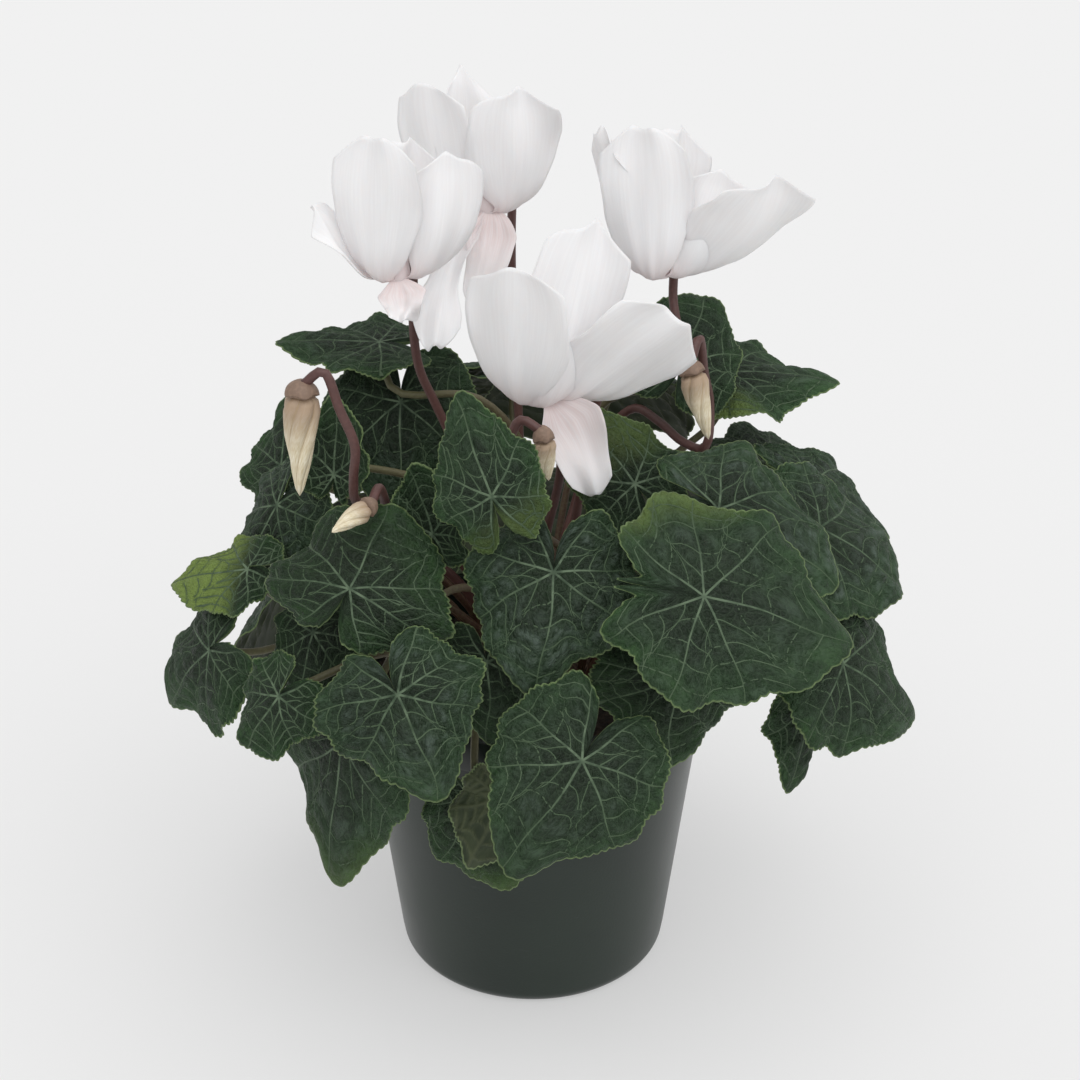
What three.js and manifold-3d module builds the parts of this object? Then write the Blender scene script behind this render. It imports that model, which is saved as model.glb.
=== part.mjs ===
// A white-flowered cyclamen growing in a round plastic nursery pot.
// Millimetres, +Z up, front towards -Y. The origin is the centre of the pot's foot.
import * as THREE from 'three';
import { mergeVertices } from 'three/addons/utils/BufferGeometryUtils.js';
import Module from 'manifold-3d';

const wasm = await Module();
wasm.setup();

// Driving dimensions: pot and soil
const POT_HEIGHT = 110;
const POT_FOOT_RADIUS = 44; // outer radius that the wall would have at the floor, without its rounded corner
const POT_WALL_SLOPE = 0.125; // gain of radius per millimetre of height
const POT_CORNER_RADIUS = 5;
const POT_WALL = 1.6;
const POT_FLOOR_TOP = 3.6;
const FOOT_RING_INNER_RADIUS = 33;
const FOOT_PAD_RADIUS = 13; // flat middle of the underside, level with the foot ring
const FOOT_RECESS = 1.4; // depth of the channel between them, which holds the drain holes
const RIM_BAND_HEIGHT = 13;
const RIM_BAND_STEP = 1.5;
const POT_SIDES = 27;
const DRAIN_COUNT = 6;
const DRAIN_RADIUS = 4;
const DRAIN_SIDES = 8;
const DRAIN_CIRCLE_RADIUS = 23;
const SOIL_TOP = 98;
const SOIL_MOUND = 1.5; // how much lower the soil lies at the pot wall than at the middle
const FIT_GAP = 0.3;

// Driving dimensions: the tuber and the crown of stems on it
const TUBER_RADIUS = 26;
const TUBER_HALF_HEIGHT = 12;
const TUBER_CENTRE = 95;
const CROWN_SPACING = 3.1; // scale of the spiral on which the stems stand
const GOLDEN_ANGLE = THREE.MathUtils.degToRad(137.5);
const SOCKET_DEPTH = 3;

// Driving dimensions: stems and leaves
const LEAF_STALK_RADIUS = 1.25;
const FLOWER_STALK_RADIUS = 1.5;
const LEAF_STALK_SIDES = 4;
const LEAF_STALK_STEPS = 6;
const FLOWER_STALK_SIDES = 5;
const FLOWER_STALK_STEPS = 14;
const BLADE_THICKNESS = 0.8;
const MARGIN_POINTS = 24;
const HIDDEN_MARGIN_POINTS = 16; // on leaves that the others cover or that face away from the front
const MARGIN_LOBE = 0.03; // how far the margin's lobes stand out, as a share of the radius
const NET_SPACING = 3.2;
const STALK_ROOM = 1.6; // least spare distance from a stalk's skin to the points of its neighbours
const BLADE_CLEARANCE = 3.2; // least distance kept between the middle planes of two blades
const SETTLING_ROUNDS = 90;
const COVER_REACH = 3.4; // points of two blades this close to one line count as one over the other
const SKIN = 0.4; // half a blade's thickness, kept free by the stalks
const STALK_LEAN = 0.012; // how much a stalk's foot leans outwards, per millimetre from the axis
const STALK_COLLAR = 6;
const STALK_LIFT = 13; // height over which a stalk leaves the crown nearly upright
const ROUTE_STEPS = 36; // points at which a stalk's route is measured

// The blade's outline, half of it: angle from the tip in degrees, and radius for a blade of length 1.
// Both are measured from the point where the stalk meets the blade, which lies in the sinus.
const OUTLINE = [
  [0, 1], [12, 0.95], [25, 0.85], [45, 0.75], [67.5, 0.69], [90, 0.67],
  [112.5, 0.67], [135, 0.66], [155, 0.61], [168, 0.48], [180, 0.1],
];
const MARGIN_UNEVENNESS = 0.05; // slower waves of the outline, which make each leaf its own shape

// Leaves that the front view shows, from the outermost to the innermost.
// at: where the stalk meets the blade. face: azimuth from the front and elevation of the upper side.
// spin: turn of the tip away from straight downhill. length: from the stalk to the tip.
// roll: bend of the left and right halves; bow: bend towards the tip and the lobes. Positive bends
// fall away from the upper side. wave: height, number and phase of the margin's waves.
// lobes: length of the two lobes behind the stalk, where it isn't the usual one.
// corners: places where the outline stands out or in: angle from the tip, share of the radius, spread.
const FRONT_LEAVES = [
  { name: 'front_centre', at: [14, -113, 139], face: [6, 30], spin: -32, length: 37,
    roll: [20, 25], bow: [35, 20], wave: [2.2, 3, 0.4], wide: 1.05 },
  { name: 'right_large', at: [48, -88, 177], face: [18, 44], spin: 70, length: 47,
    roll: [20, 15], bow: [25, 15], wave: [2.2, 4, 0], wide: 0.98,
    corners: [[-110, 0.16, 13], [180, 2.6, 5], [-180, 2.6, 5]] },
  { name: 'upright', at: [-11, -73, 199], face: [-8, 18], spin: -158, length: 29,
    roll: [25, 35], bow: [25, 30], wave: [1.2, 4, 1], wide: 0.85 },
  { name: 'left_bright', at: [-72, -87, 144], face: [-30, 28], spin: -30, length: 22,
    roll: [35, 35], bow: [30, 20], wave: [1.5, 4, 2], wide: 1.05 },
  { name: 'left_wide', at: [-51, -76, 172], face: [-14, 48], spin: 165, length: 31,
    roll: [30, 30], bow: [25, 35], wave: [2.2, 4, 2.5], wide: 1.45,
    corners: [[80, 0.08, 16], [-95, 0.1, 14]] },
  { name: 'front_grey', at: [-36, -101, 153], face: [-6, 30], spin: 25, length: 30,
    roll: [30, 20], bow: [30, 25], wave: [2.6, 4, 1], wide: 1.2,
    corners: [[96, 0.13, 14]] },
  { name: 'centre_grey', at: [6, -83, 184], face: [0, 38], spin: -5, length: 34,
    roll: [20, 30], bow: [30, 20], wave: [2.8, 4, 0.5], wide: 1.15,
    corners: [[38, 0.09, 14], [-10, -0.08, 12], [-48, 0.08, 14]] },
  { name: 'left_cup', at: [-58, -30, 186], face: [-16, 14], spin: 178, length: 25,
    roll: [-65, -65], bow: [-20, -25], wave: [0.8, 4, 0], wide: 0.85, lobes: 0.6 },
  { name: 'left_silver', at: [-79, -24, 175], face: [-46, 32], spin: -16, length: 30,
    roll: [45, 50], bow: [25, 15], wave: [1.2, 5, 0], wide: 0.95 },
  { name: 'left_lime', at: [-84, -42, 161], face: [-44, 60], spin: -62, length: 28,
    roll: [30, 20], bow: [20, 15], wave: [1.4, 4, 1.4], wide: 0.85, lobes: 0.7 },
  { name: 'left_low', at: [-97, -50, 138], face: [-50, 24], spin: -42, length: 32,
    roll: [25, 35], bow: [30, 20], wave: [2.4, 4, 0.7], wide: 1.1, lobes: 0.8,
    corners: [[60, 0.12, 14], [-50, 0.1, 14]] },
  { name: 'front_low', at: [-17, -75, 101], face: [2, 6], spin: 20, length: 35,
    roll: [25, 30], bow: [10, 20], wave: [1.2, 4, 2], wide: 0.85, lobes: 0.55,
    corners: [[50, 0.1, 13]] },
  { name: 'left_hanging', at: [-53, -82, 126], face: [-34, 6], spin: -4, length: 48,
    roll: [45, 40], bow: [15, 20], wave: [2.2, 5, 1], wide: 0.75, lobes: 0.55,
    corners: [[40, 0.12, 13], [75, 0.12, 12]] },
  { name: 'front_turned', at: [-9, -93, 114], face: [172, -18], spin: 20, length: 24,
    roll: [-30, -30], bow: [-15, -10], wave: [1, 4, 0], wide: 0.85, lobes: 0.7 },
  { name: 'middle_cup', at: [-33, -60, 186], face: [-10, 24], spin: -165, length: 21,
    roll: [-60, -60], bow: [-30, -20], wave: [0.8, 4, 1], wide: 0.95, hidden: true },
  { name: 'upper_right', at: [51, -53, 185], face: [22, 55], spin: 49, length: 42,
    roll: [25, 30], bow: [30, 35], wave: [1.5, 4, 1.5], wide: 1 },
  { name: 'right_middle', at: [81, -36, 172], face: [48, 48], spin: 41, length: 40,
    roll: [25, 30], bow: [30, 20], wave: [1.4, 4, 2], wide: 0.95 },
  { name: 'right_upper', at: [87, -2, 171], face: [55, 58], spin: 40, length: 34,
    roll: [25, 25], bow: [30, 20], wave: [1.4, 4, 0], wide: 0.95 },
  { name: 'right_low', at: [98, -60, 141], face: [42, 30], spin: 50, length: 39,
    roll: [40, 30], bow: [30, 20], wave: [2.4, 4, 0.3], wide: 1,
    corners: [[55, 0.1, 14], [-45, 0.12, 13]] },
  { name: 'right_shaded', at: [45, -84, 149], face: [14, 22], spin: -8, length: 26,
    roll: [30, 20], bow: [25, 10], wave: [1.8, 4, 1], wide: 1.5 },
  { name: 'right_hanging', at: [86, -48, 120], face: [38, 6], spin: -15, length: 30,
    roll: [40, 40], bow: [15, 10], wave: [1.2, 4, 1], wide: 0.8, lobes: 0.7 },
  { name: 'middle_low', at: [-13, -76, 149], face: [-4, 24], spin: 10, length: 24,
    roll: [25, 25], bow: [20, 20], wave: [1.2, 4, 1], wide: 1.1, hidden: true },
  { name: 'left_inner', at: [-68, -62, 150], face: [-32, 30], spin: 0, length: 24,
    roll: [25, 25], bow: [20, 20], wave: [1.2, 4, 2], wide: 1, hidden: true },
  { name: 'top_left', at: [-47, 26, 204], face: [-20, 86], spin: -75, length: 31,
    roll: [12, 8], bow: [8, 12], wave: [1.5, 5, 0.5], wide: 0.95 },
  { name: 'behind_left', at: [-42, 18, 190], face: [-8, 36], spin: 4, length: 36,
    roll: [25, 25], bow: [30, 20], wave: [1.5, 4, 0], wide: 1.05, hidden: true },
  { name: 'left_green', at: [-80, 2, 176], face: [-42, 40], spin: -150, length: 27,
    roll: [25, 25], bow: [25, 20], wave: [1.5, 4, 1], wide: 0.95, hidden: true },
  { name: 'right_small', at: [31, -26, 182], face: [10, 38], spin: -152, length: 27,
    roll: [20, 20], bow: [20, 20], wave: [0.8, 4, 0], wide: 1, hidden: true },
  { name: 'right_dark', at: [38, 6, 193], face: [12, 45], spin: 150, length: 29,
    roll: [25, 25], bow: [20, 20], wave: [1, 4, 2], wide: 1, hidden: true },
  { name: 'right_back', at: [74, 20, 168], face: [40, 66], spin: 70, length: 32,
    roll: [25, 25], bow: [30, 20], wave: [1.4, 4, 1], wide: 0.95, hidden: true },
  { name: 'top_right', at: [60, 18, 194], face: [14, 78], spin: 83, length: 34,
    roll: [20, 20], bow: [20, 25], wave: [2.6, 5, 1], wide: 0.95 },
];

// Leaves on the side turned away from the front: a low ring and a high ring around the crown
const BACK_SEED = 7;
const BACK_RINGS = [
  { name: 'back_low', first: 118, last: 244, count: 5, reach: 96, height: 122, rise: 26, length: 50 },
  { name: 'back_high', first: 144, last: 216, count: 3, reach: 66, height: 188, rise: 42, length: 40 },
];

// Blooms: mouth is where the petals leave the tube.
// Each petal: azimuth at the mouth, tip from the mouth, greatest width, twist and trough depth,
// how far its middle stands out sideways, and the kind of its outline.
const BLOOMS = [
  { name: 'bloom_front', mouth: [2, -24, 208],
    petals: [
      { from: -58, tip: [-7, -9, 46], width: 34, twist: 34, trough: 3, belly: 2, kind: 'broad' },
      { from: 208, tip: [17, 16, 42], width: 28, twist: 10, trough: 4, belly: 3, kind: 'broad' },
      { from: 8, tip: [16.5, 0, 57], width: 29, twist: 6, trough: 4, belly: 3, kind: 'broad' },
      { from: 98, tip: [42, -8, 30.5], width: 37, twist: -74, trough: 3, belly: 2, kind: 'broad' },
      { from: 58, tip: [17, -14, -25], width: 21, twist: 50, trough: 4, belly: 6, kind: 'hanging' },
    ] },
  { name: 'bloom_left', mouth: [-41, 0, 238],
    petals: [
      { from: -88, tip: [-24, -7, 25], width: 17, twist: -12, trough: 2, belly: 1, kind: 'strip' },
      { from: -35, tip: [-4, -7, 47], width: 27, twist: 26, trough: 4, belly: 4, kind: 'broad' },
      { from: 212, tip: [4, 12, 40], width: 29, twist: 5, trough: 4, belly: 3, kind: 'broad' },
      { from: 80, tip: [16.5, 4, 38], width: 25, twist: -56, trough: 4, belly: 9, kind: 'broad' },
      { from: 18, tip: [3, -14, -9], width: 15, twist: 18, trough: 2, belly: 3, kind: 'hanging' },
    ] },
  { name: 'bloom_back', mouth: [-14, 30, 249],
    petals: [
      { from: -98, tip: [-18, 2, 40], width: 31, twist: 62, trough: 4, belly: 8, kind: 'broad' },
      { from: 212, tip: [-8, 14, 42], width: 30, twist: 10, trough: 4, belly: 3, kind: 'pointed' },
      { from: 60, tip: [9, -4, 40], width: 30, twist: -45, trough: 4, belly: 4, kind: 'broad' },
      { from: 20, tip: [-4, -18, -26], width: 16, twist: 16, trough: 3, belly: 4, kind: 'hanging' },
      { from: -60, tip: [-15.5, -40, -31], width: 16, twist: -50, trough: 3, belly: 8, kind: 'spoon' },
    ] },
  { name: 'bloom_right', mouth: [38, 8, 236],
    petals: [
      { from: -95, tip: [-19, -2, 47], width: 17, twist: 50, trough: 3, belly: 0, kind: 'strip' },
      { from: -15, tip: [-6, -8, 50], width: 28, twist: 10, trough: 4, belly: 2, kind: 'broad' },
      { from: 216, tip: [7, 14, 43], width: 31, twist: 10, trough: 4, belly: 3, kind: 'broad' },
      { from: 62, tip: [19, 0, 33], width: 27, twist: -50, trough: 4, belly: 5, kind: 'broad' },
      { from: 100, tip: [34, -5, 32], width: 40, twist: -62, trough: 6, belly: 13, kind: 'broad' },
    ] },
];
const TUBE_RADIUS = 4.6;
const TUBE_LENGTH = 8;
const BLOOM_HOOK_REACHES = [6.6, 7.4, 8.2, 9, 10]; // tried distances of a stalk from its flower's axis
const BUD_HOOK_REACH = 8;
const PETAL_THICKNESS = 0.7;
const PETAL_TWIST_END = 0.5; // share of the petal within which it makes its twist
const PETAL_ROWS = 5;
const PETAL_COLUMNS = 4;
const PETAL_LIP = [7.5, 3.5]; // how far a petal runs outwards and down before it turns
// Widths along a petal from its base to its tip, as shares of the greatest one
const PETAL_WIDTHS = {
  broad: [[0, 0.2], [0.15, 0.28], [0.38, 0.66], [0.6, 0.94],
    [0.76, 1], [0.87, 0.93], [0.95, 0.76], [1, 0.45]],
  pointed: [[0, 0.2], [0.15, 0.28], [0.38, 0.68], [0.6, 0.95], [0.78, 0.8], [0.92, 0.4], [1, 0.12]],
  strip: [[0, 0.25], [0.2, 0.36], [0.45, 0.7], [0.7, 1], [0.9, 0.8], [1, 0.4]],
  hanging: [[0, 0.25], [0.15, 0.6], [0.35, 1], [0.55, 0.85], [0.8, 0.66], [0.93, 0.52], [1, 0.3]],
  spoon: [[0, 0.35], [0.15, 0.7], [0.3, 0.8], [0.5, 0.55], [0.65, 0.58], [0.8, 0.95], [0.93, 0.86], [1, 0.4]],
};

// Buds: neck is where the calyx joins its hooked stalk, tip is the pointed end
const BUDS = [
  { name: 'bud_left', neck: [-65, -50, 225], tip: [-67, -52, 190], radius: 5.2, hookSide: 80, lift: 6 },
  { name: 'bud_right', neck: [47, -13, 216], tip: [53.5, -17, 192], radius: 4.2, hookSide: 150, lift: 8 },
  { name: 'bud_middle', neck: [3, -46, 209], tip: [5, -46, 192], radius: 3.4, hookSide: -110, lift: 3 },
  { name: 'bud_low', neck: [-45, -62, 193], tip: [-56, -77, 191], radius: 3.2,
    hookSide: 170, lift: 3, drop: 8 },
];
const BUD_TURNS = 0.35;
const BUD_RIDGES = 5;
const BUD_RIDGE_DEPTH = 0.12;
const BUD_SHAPE = [[0.7, 0], [0.98, 0.16], [0.92, 0.42], [0.62, 0.7], [0.26, 0.93]]; // radius along the bud
const CALYX_HEIGHT = 4.2;
const CALYX_SEAT = 3.4; // how far the calyx's open side lies below the end of the stalk

const COLOURS = {
  pot: [0x2f3a33, 0.62],
  soil: [0x2e241c, 0.95],
  tuber: [0x5a4636, 0.9],
  leaf: [0x2c4a2e, 0.6],
  lime: [0x6f8f35, 0.6],
  silver: [0x7d9a8c, 0.6],
  petal: [0xf0ebec, 0.6],
  bud: [0xe9dfc6, 0.6],
  stalk: [0x5a3a30, 0.6],
};

// Small helpers
const rad = THREE.MathUtils.degToRad;
const vec = (p) => new THREE.Vector3(...p);

function interpolate(table, t) {
  for (let i = 1; i < table.length; i++) {
    const [t0, v0] = table[i - 1];
    const [t1, v1] = table[i];
    if (t <= t1) return v0 + ((v1 - v0) * (t - t0)) / (t1 - t0);
  }
  return table[table.length - 1][1];
}

function seededRandom(seed) {
  let state = seed;
  return () => {
    state = (state * 16807) % 2147483647;
    return state / 2147483647;
  };
}

// A three.js geometry as a manifold solid, and back
function solid(geometry) {
  const bare = geometry.clone();
  bare.deleteAttribute('normal');
  bare.deleteAttribute('uv');
  const merged = mergeVertices(bare, 1e-3);
  return new wasm.Manifold(new wasm.Mesh({
    numProp: 3,
    vertProperties: merged.getAttribute('position').array,
    triVerts: new Uint32Array(merged.index.array),
  }));
}

function geometryOf(made) {
  const mesh = made.getMesh();
  const geometry = new THREE.BufferGeometry();
  geometry.setAttribute('position', new THREE.BufferAttribute(mesh.vertProperties, 3));
  geometry.setIndex(new THREE.BufferAttribute(mesh.triVerts, 1));
  return geometry;
}

function join(geometries) {
  let whole = solid(geometries[0]);
  for (const next of geometries.slice(1)) whole = whole.add(solid(next));
  return geometryOf(whole);
}

function cut(geometry, tools) {
  let left = solid(geometry);
  for (const tool of tools) left = left.subtract(solid(tool));
  return geometryOf(left);
}

// A rod with a few flat sides along a curve
function rod(curve, radius, sides, steps) {
  const section = new THREE.Shape();
  for (let i = 0; i < sides; i++) {
    const angle = (2 * Math.PI * i) / sides;
    const x = radius * Math.cos(angle);
    const y = radius * Math.sin(angle);
    if (i === 0) section.moveTo(x, y);
    else section.lineTo(x, y);
  }
  section.closePath();
  return new THREE.ExtrudeGeometry(section, { steps, extrudePath: curve, bevelEnabled: false });
}

// A thin closed sheet from a grid of points given for its upper and lower sides.
// point(row, column, side) returns a vector; both sides are split into the same triangles.
function sheet(rows, columns, point) {
  const positions = [];
  const index = [];
  const across = columns + 1;
  const perSide = (rows + 1) * across;
  for (const side of [1, -1]) {
    for (let r = 0; r <= rows; r++) {
      for (let c = 0; c <= columns; c++) positions.push(...point(r, c, side).toArray());
    }
  }
  const at = (r, c) => r * across + c;
  for (let r = 0; r < rows; r++) {
    for (let c = 0; c < columns; c++) {
      const [a, b, d, e] = [at(r, c), at(r, c + 1), at(r + 1, c), at(r + 1, c + 1)];
      index.push(a, e, b, a, d, e);
      index.push(perSide + a, perSide + b, perSide + e, perSide + a, perSide + e, perSide + d);
    }
  }
  const rim = [];
  for (let c = 0; c < columns; c++) rim.push(at(0, c));
  for (let r = 0; r < rows; r++) rim.push(at(r, columns));
  for (let c = columns; c > 0; c--) rim.push(at(rows, c));
  for (let r = rows; r > 0; r--) rim.push(at(r, 0));
  rim.forEach((a, i) => {
    const b = rim[(i + 1) % rim.length];
    index.push(a, perSide + b, perSide + a, a, b, perSide + b);
  });
  const geometry = new THREE.BufferGeometry();
  geometry.setAttribute('position', new THREE.Float32BufferAttribute(positions, 3));
  geometry.setIndex(index);
  return geometry;
}

// Pot
function potRadius(z) {
  return POT_FOOT_RADIUS + POT_WALL_SLOPE * z;
}

function makePot() {
  const profile = [
    [0, 0],
    [FOOT_PAD_RADIUS, 0],
    [FOOT_PAD_RADIUS + 1, FOOT_RECESS],
    [FOOT_RING_INNER_RADIUS - 1, FOOT_RECESS],
    [FOOT_RING_INNER_RADIUS, 0],
  ];
  const cornerCentre = POT_FOOT_RADIUS - POT_CORNER_RADIUS;
  for (const angle of [-90, -60, -30, 0]) {
    profile.push([
      cornerCentre + POT_CORNER_RADIUS * Math.cos(rad(angle)) + 0.5 * (1 + Math.sin(rad(angle))),
      POT_CORNER_RADIUS + POT_CORNER_RADIUS * Math.sin(rad(angle)),
    ]);
  }
  const bandBottom = POT_HEIGHT - RIM_BAND_HEIGHT;
  const top = potRadius(POT_HEIGHT);
  profile.push([potRadius(bandBottom), bandBottom]);
  profile.push([potRadius(bandBottom) + RIM_BAND_STEP, bandBottom + 1]);
  profile.push([top + RIM_BAND_STEP, POT_HEIGHT - 0.8]);
  profile.push([top + RIM_BAND_STEP - 0.8, POT_HEIGHT]);
  profile.push([top - POT_WALL, POT_HEIGHT]);
  profile.push([potRadius(POT_FLOOR_TOP + 3) - POT_WALL, POT_FLOOR_TOP + 3]);
  profile.push([potRadius(POT_FLOOR_TOP) - POT_WALL - 3, POT_FLOOR_TOP]);
  profile.push([0, POT_FLOOR_TOP]);
  const shell = new THREE.LatheGeometry(profile.map(([r, z]) => new THREE.Vector2(r, z)), POT_SIDES);
  shell.rotateX(Math.PI / 2);
  const drains = [];
  for (let i = 0; i < DRAIN_COUNT; i++) {
    const angle = (2 * Math.PI * i) / DRAIN_COUNT;
    const drain = new THREE.CylinderGeometry(DRAIN_RADIUS, DRAIN_RADIUS, 4 * POT_FLOOR_TOP, DRAIN_SIDES);
    drain.rotateX(Math.PI / 2);
    drain.translate(DRAIN_CIRCLE_RADIUS * Math.cos(angle), DRAIN_CIRCLE_RADIUS * Math.sin(angle), 0);
    drains.push(drain);
  }
  return cut(shell, drains);
}

// Tuber: a squashed ball, half sunk in the soil
function tuberBall(extra) {
  const ball = new THREE.SphereGeometry(1, 14, 6);
  ball.rotateX(Math.PI / 2);
  ball.scale(TUBER_RADIUS + extra, TUBER_RADIUS + extra, TUBER_HALF_HEIGHT + extra);
  ball.translate(0, 0, TUBER_CENTRE);
  return ball;
}

function makeSoil() {
  const inner = (z) => potRadius(z) - POT_WALL - FIT_GAP;
  const bottom = POT_FLOOR_TOP + FIT_GAP;
  const profile = [
    [0, bottom],
    [inner(bottom) - 3.2, bottom],
    [inner(bottom + 3.4), bottom + 3.4],
    [inner(SOIL_TOP - SOIL_MOUND), SOIL_TOP - SOIL_MOUND],
    [inner(SOIL_TOP) - 9, SOIL_TOP],
    [0, SOIL_TOP],
  ];
  const body = new THREE.LatheGeometry(profile.map(([r, z]) => new THREE.Vector2(r, z)), POT_SIDES);
  body.rotateX(Math.PI / 2);
  return cut(body, [tuberBall(FIT_GAP)]);
}

// A square socket for a stalk's foot, along the stalk's first direction
function socket(stalk) {
  const direction = stalk.curve.getTangent(0);
  const radius = (stalk.radius + FIT_GAP) * Math.SQRT2;
  const hole = new THREE.CylinderGeometry(radius, radius, 4 * SOCKET_DEPTH, 4);
  const turn = new THREE.Quaternion().setFromUnitVectors(new THREE.Vector3(0, 1, 0), direction);
  hole.applyQuaternion(turn);
  const centre = stalk.curve.getPoint(0).addScaledVector(direction, 2 * SOCKET_DEPTH - FIT_GAP);
  hole.translate(centre.x, centre.y, centre.z);
  return hole;
}

// Blade of a leaf: flat outline, bent by rolls, bows and waves
function outlineRadius(leaf, theta) {
  const degrees = Math.abs(THREE.MathUtils.radToDeg(theta));
  const lobes = 1 + MARGIN_LOBE * Math.cos((leaf.points / 2) * theta);
  const slow = Math.sin(5 * theta + 2 * leaf.wave[2]) + 0.6 * Math.cos(7 * theta - leaf.wave[2]);
  const uneven = 1 + MARGIN_UNEVENNESS * slow;
  const behind = THREE.MathUtils.smoothstep(degrees, 60, 150);
  const short = 1 + behind * ((leaf.lobes || 1) - 1);
  let cornered = 1;
  for (const [angle, share, spread] of leaf.corners || []) {
    cornered += share * Math.exp(-(((THREE.MathUtils.radToDeg(theta) - angle) / spread) ** 2));
  }
  return leaf.length * interpolate(OUTLINE, degrees) * lobes * uneven * short * cornered;
}

// An arc in one direction: distance along it and height off it become two coordinates
function arc(distance, height, curvature) {
  if (Math.abs(curvature) < 1e-6) return [distance, height];
  const radius = 1 / curvature;
  const angle = Math.abs(distance) * curvature;
  const outer = radius + height;
  return [Math.sign(distance) * outer * Math.sin(angle), outer * Math.cos(angle) - radius];
}

// theta is measured from the tip, rho runs from 0 at the stalk to 1 at the margin
function bladePoint(leaf, theta, rho, offset) {
  const radius = rho * outlineRadius(leaf, theta);
  const u = leaf.wide * radius * Math.sin(theta);
  const v = radius * Math.cos(theta);
  const [height, count, phase] = leaf.wave;
  const wave = height * rho * rho * Math.sin(count * theta + phase);
  const [x, h] = arc(u, wave + offset, rad(leaf.roll[u < 0 ? 0 : 1]) / (0.67 * leaf.length));
  const [y, z] = arc(v, h, rad(leaf.bow[v < 0 ? 1 : 0]) / ((v < 0 ? 0.6 : 1) * leaf.length));
  return leaf.frame.at.clone()
    .addScaledVector(leaf.frame.side, x)
    .addScaledVector(leaf.frame.tip, y)
    .addScaledVector(leaf.frame.face, z);
}

function leafFrame(leaf) {
  const [azimuth, elevation] = leaf.face.map(rad);
  const spin = rad(leaf.spin);
  const face = new THREE.Vector3(
    Math.sin(azimuth) * Math.cos(elevation), -Math.cos(azimuth) * Math.cos(elevation), Math.sin(elevation));
  const level = new THREE.Vector3(Math.cos(azimuth), Math.sin(azimuth), 0);
  const downhill = new THREE.Vector3().crossVectors(level, face);
  const tip = downhill.multiplyScalar(Math.cos(spin)).addScaledVector(level, Math.sin(spin));
  const side = new THREE.Vector3().crossVectors(tip, face);
  return { at: vec(leaf.at), face, tip, side };
}

function bladeGeometry(leaf) {
  const rings = [[leaf.points / 4, 0.3], [leaf.points / 2, 0.64], [leaf.points, 1]];
  const positions = [];
  const index = [];
  const perSide = 1 + rings.reduce((sum, [count]) => sum + count, 0);
  for (const side of [1, -1]) {
    const offset = (side * BLADE_THICKNESS) / 2;
    positions.push(...bladePoint(leaf, 0, 0, offset).toArray());
    for (const [count, rho] of rings) {
      for (let k = 0; k < count; k++) {
        const theta = Math.PI - (2 * Math.PI * k) / count;
        positions.push(...bladePoint(leaf, theta, rho, offset).toArray());
      }
    }
  }
  const face = (a, b, c) => index.push(a, b, c, perSide + a, perSide + c, perSide + b);
  const first = [1, 1 + rings[0][0], 1 + rings[0][0] + rings[1][0]];
  const on = (ring, k) => first[ring] + (k % rings[ring][0]);
  for (let k = 0; k < rings[0][0]; k++) face(0, on(0, k), on(0, k + 1));
  for (const ring of [0, 1]) {
    for (let k = 0; k < rings[ring][0]; k++) {
      face(on(ring, k), on(ring + 1, 2 * k), on(ring + 1, 2 * k + 1));
      face(on(ring, k), on(ring + 1, 2 * k + 1), on(ring, k + 1));
      face(on(ring, k + 1), on(ring + 1, 2 * k + 1), on(ring + 1, 2 * k + 2));
    }
  }
  for (let k = 0; k < leaf.points; k++) {
    const [a, b] = [on(2, k), on(2, k + 1)];
    index.push(a, perSide + b, b, a, perSide + a, perSide + b);
  }
  const geometry = new THREE.BufferGeometry();
  geometry.setAttribute('position', new THREE.Float32BufferAttribute(positions, 3));
  geometry.setIndex(index);
  return geometry;
}

// Points spread over a blade, to measure distances with
function bladeSamples(leaf) {
  const samples = [];
  for (const [rho, count] of [[0.2, 8], [0.42, 16], [0.62, 24], [0.8, 30], [1, 38]]) {
    for (let k = 0; k < count; k++) {
      samples.push(bladePoint(leaf, Math.PI - (2 * Math.PI * k) / count, rho, 0));
    }
  }
  return samples;
}

// Closely spaced points on a blade, for the stalks to keep away from
function bladeNet(leaf) {
  const net = [];
  const rows = Math.ceil(leaf.length / NET_SPACING);
  for (let row = 1; row <= rows; row++) {
    const rho = row / rows;
    const count = Math.ceil((2 * Math.PI * rho * 0.75 * leaf.length) / NET_SPACING);
    for (let k = 0; k < count; k++) net.push(bladePoint(leaf, Math.PI - (2 * Math.PI * k) / count, rho, 0));
  }
  return net;
}

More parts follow.
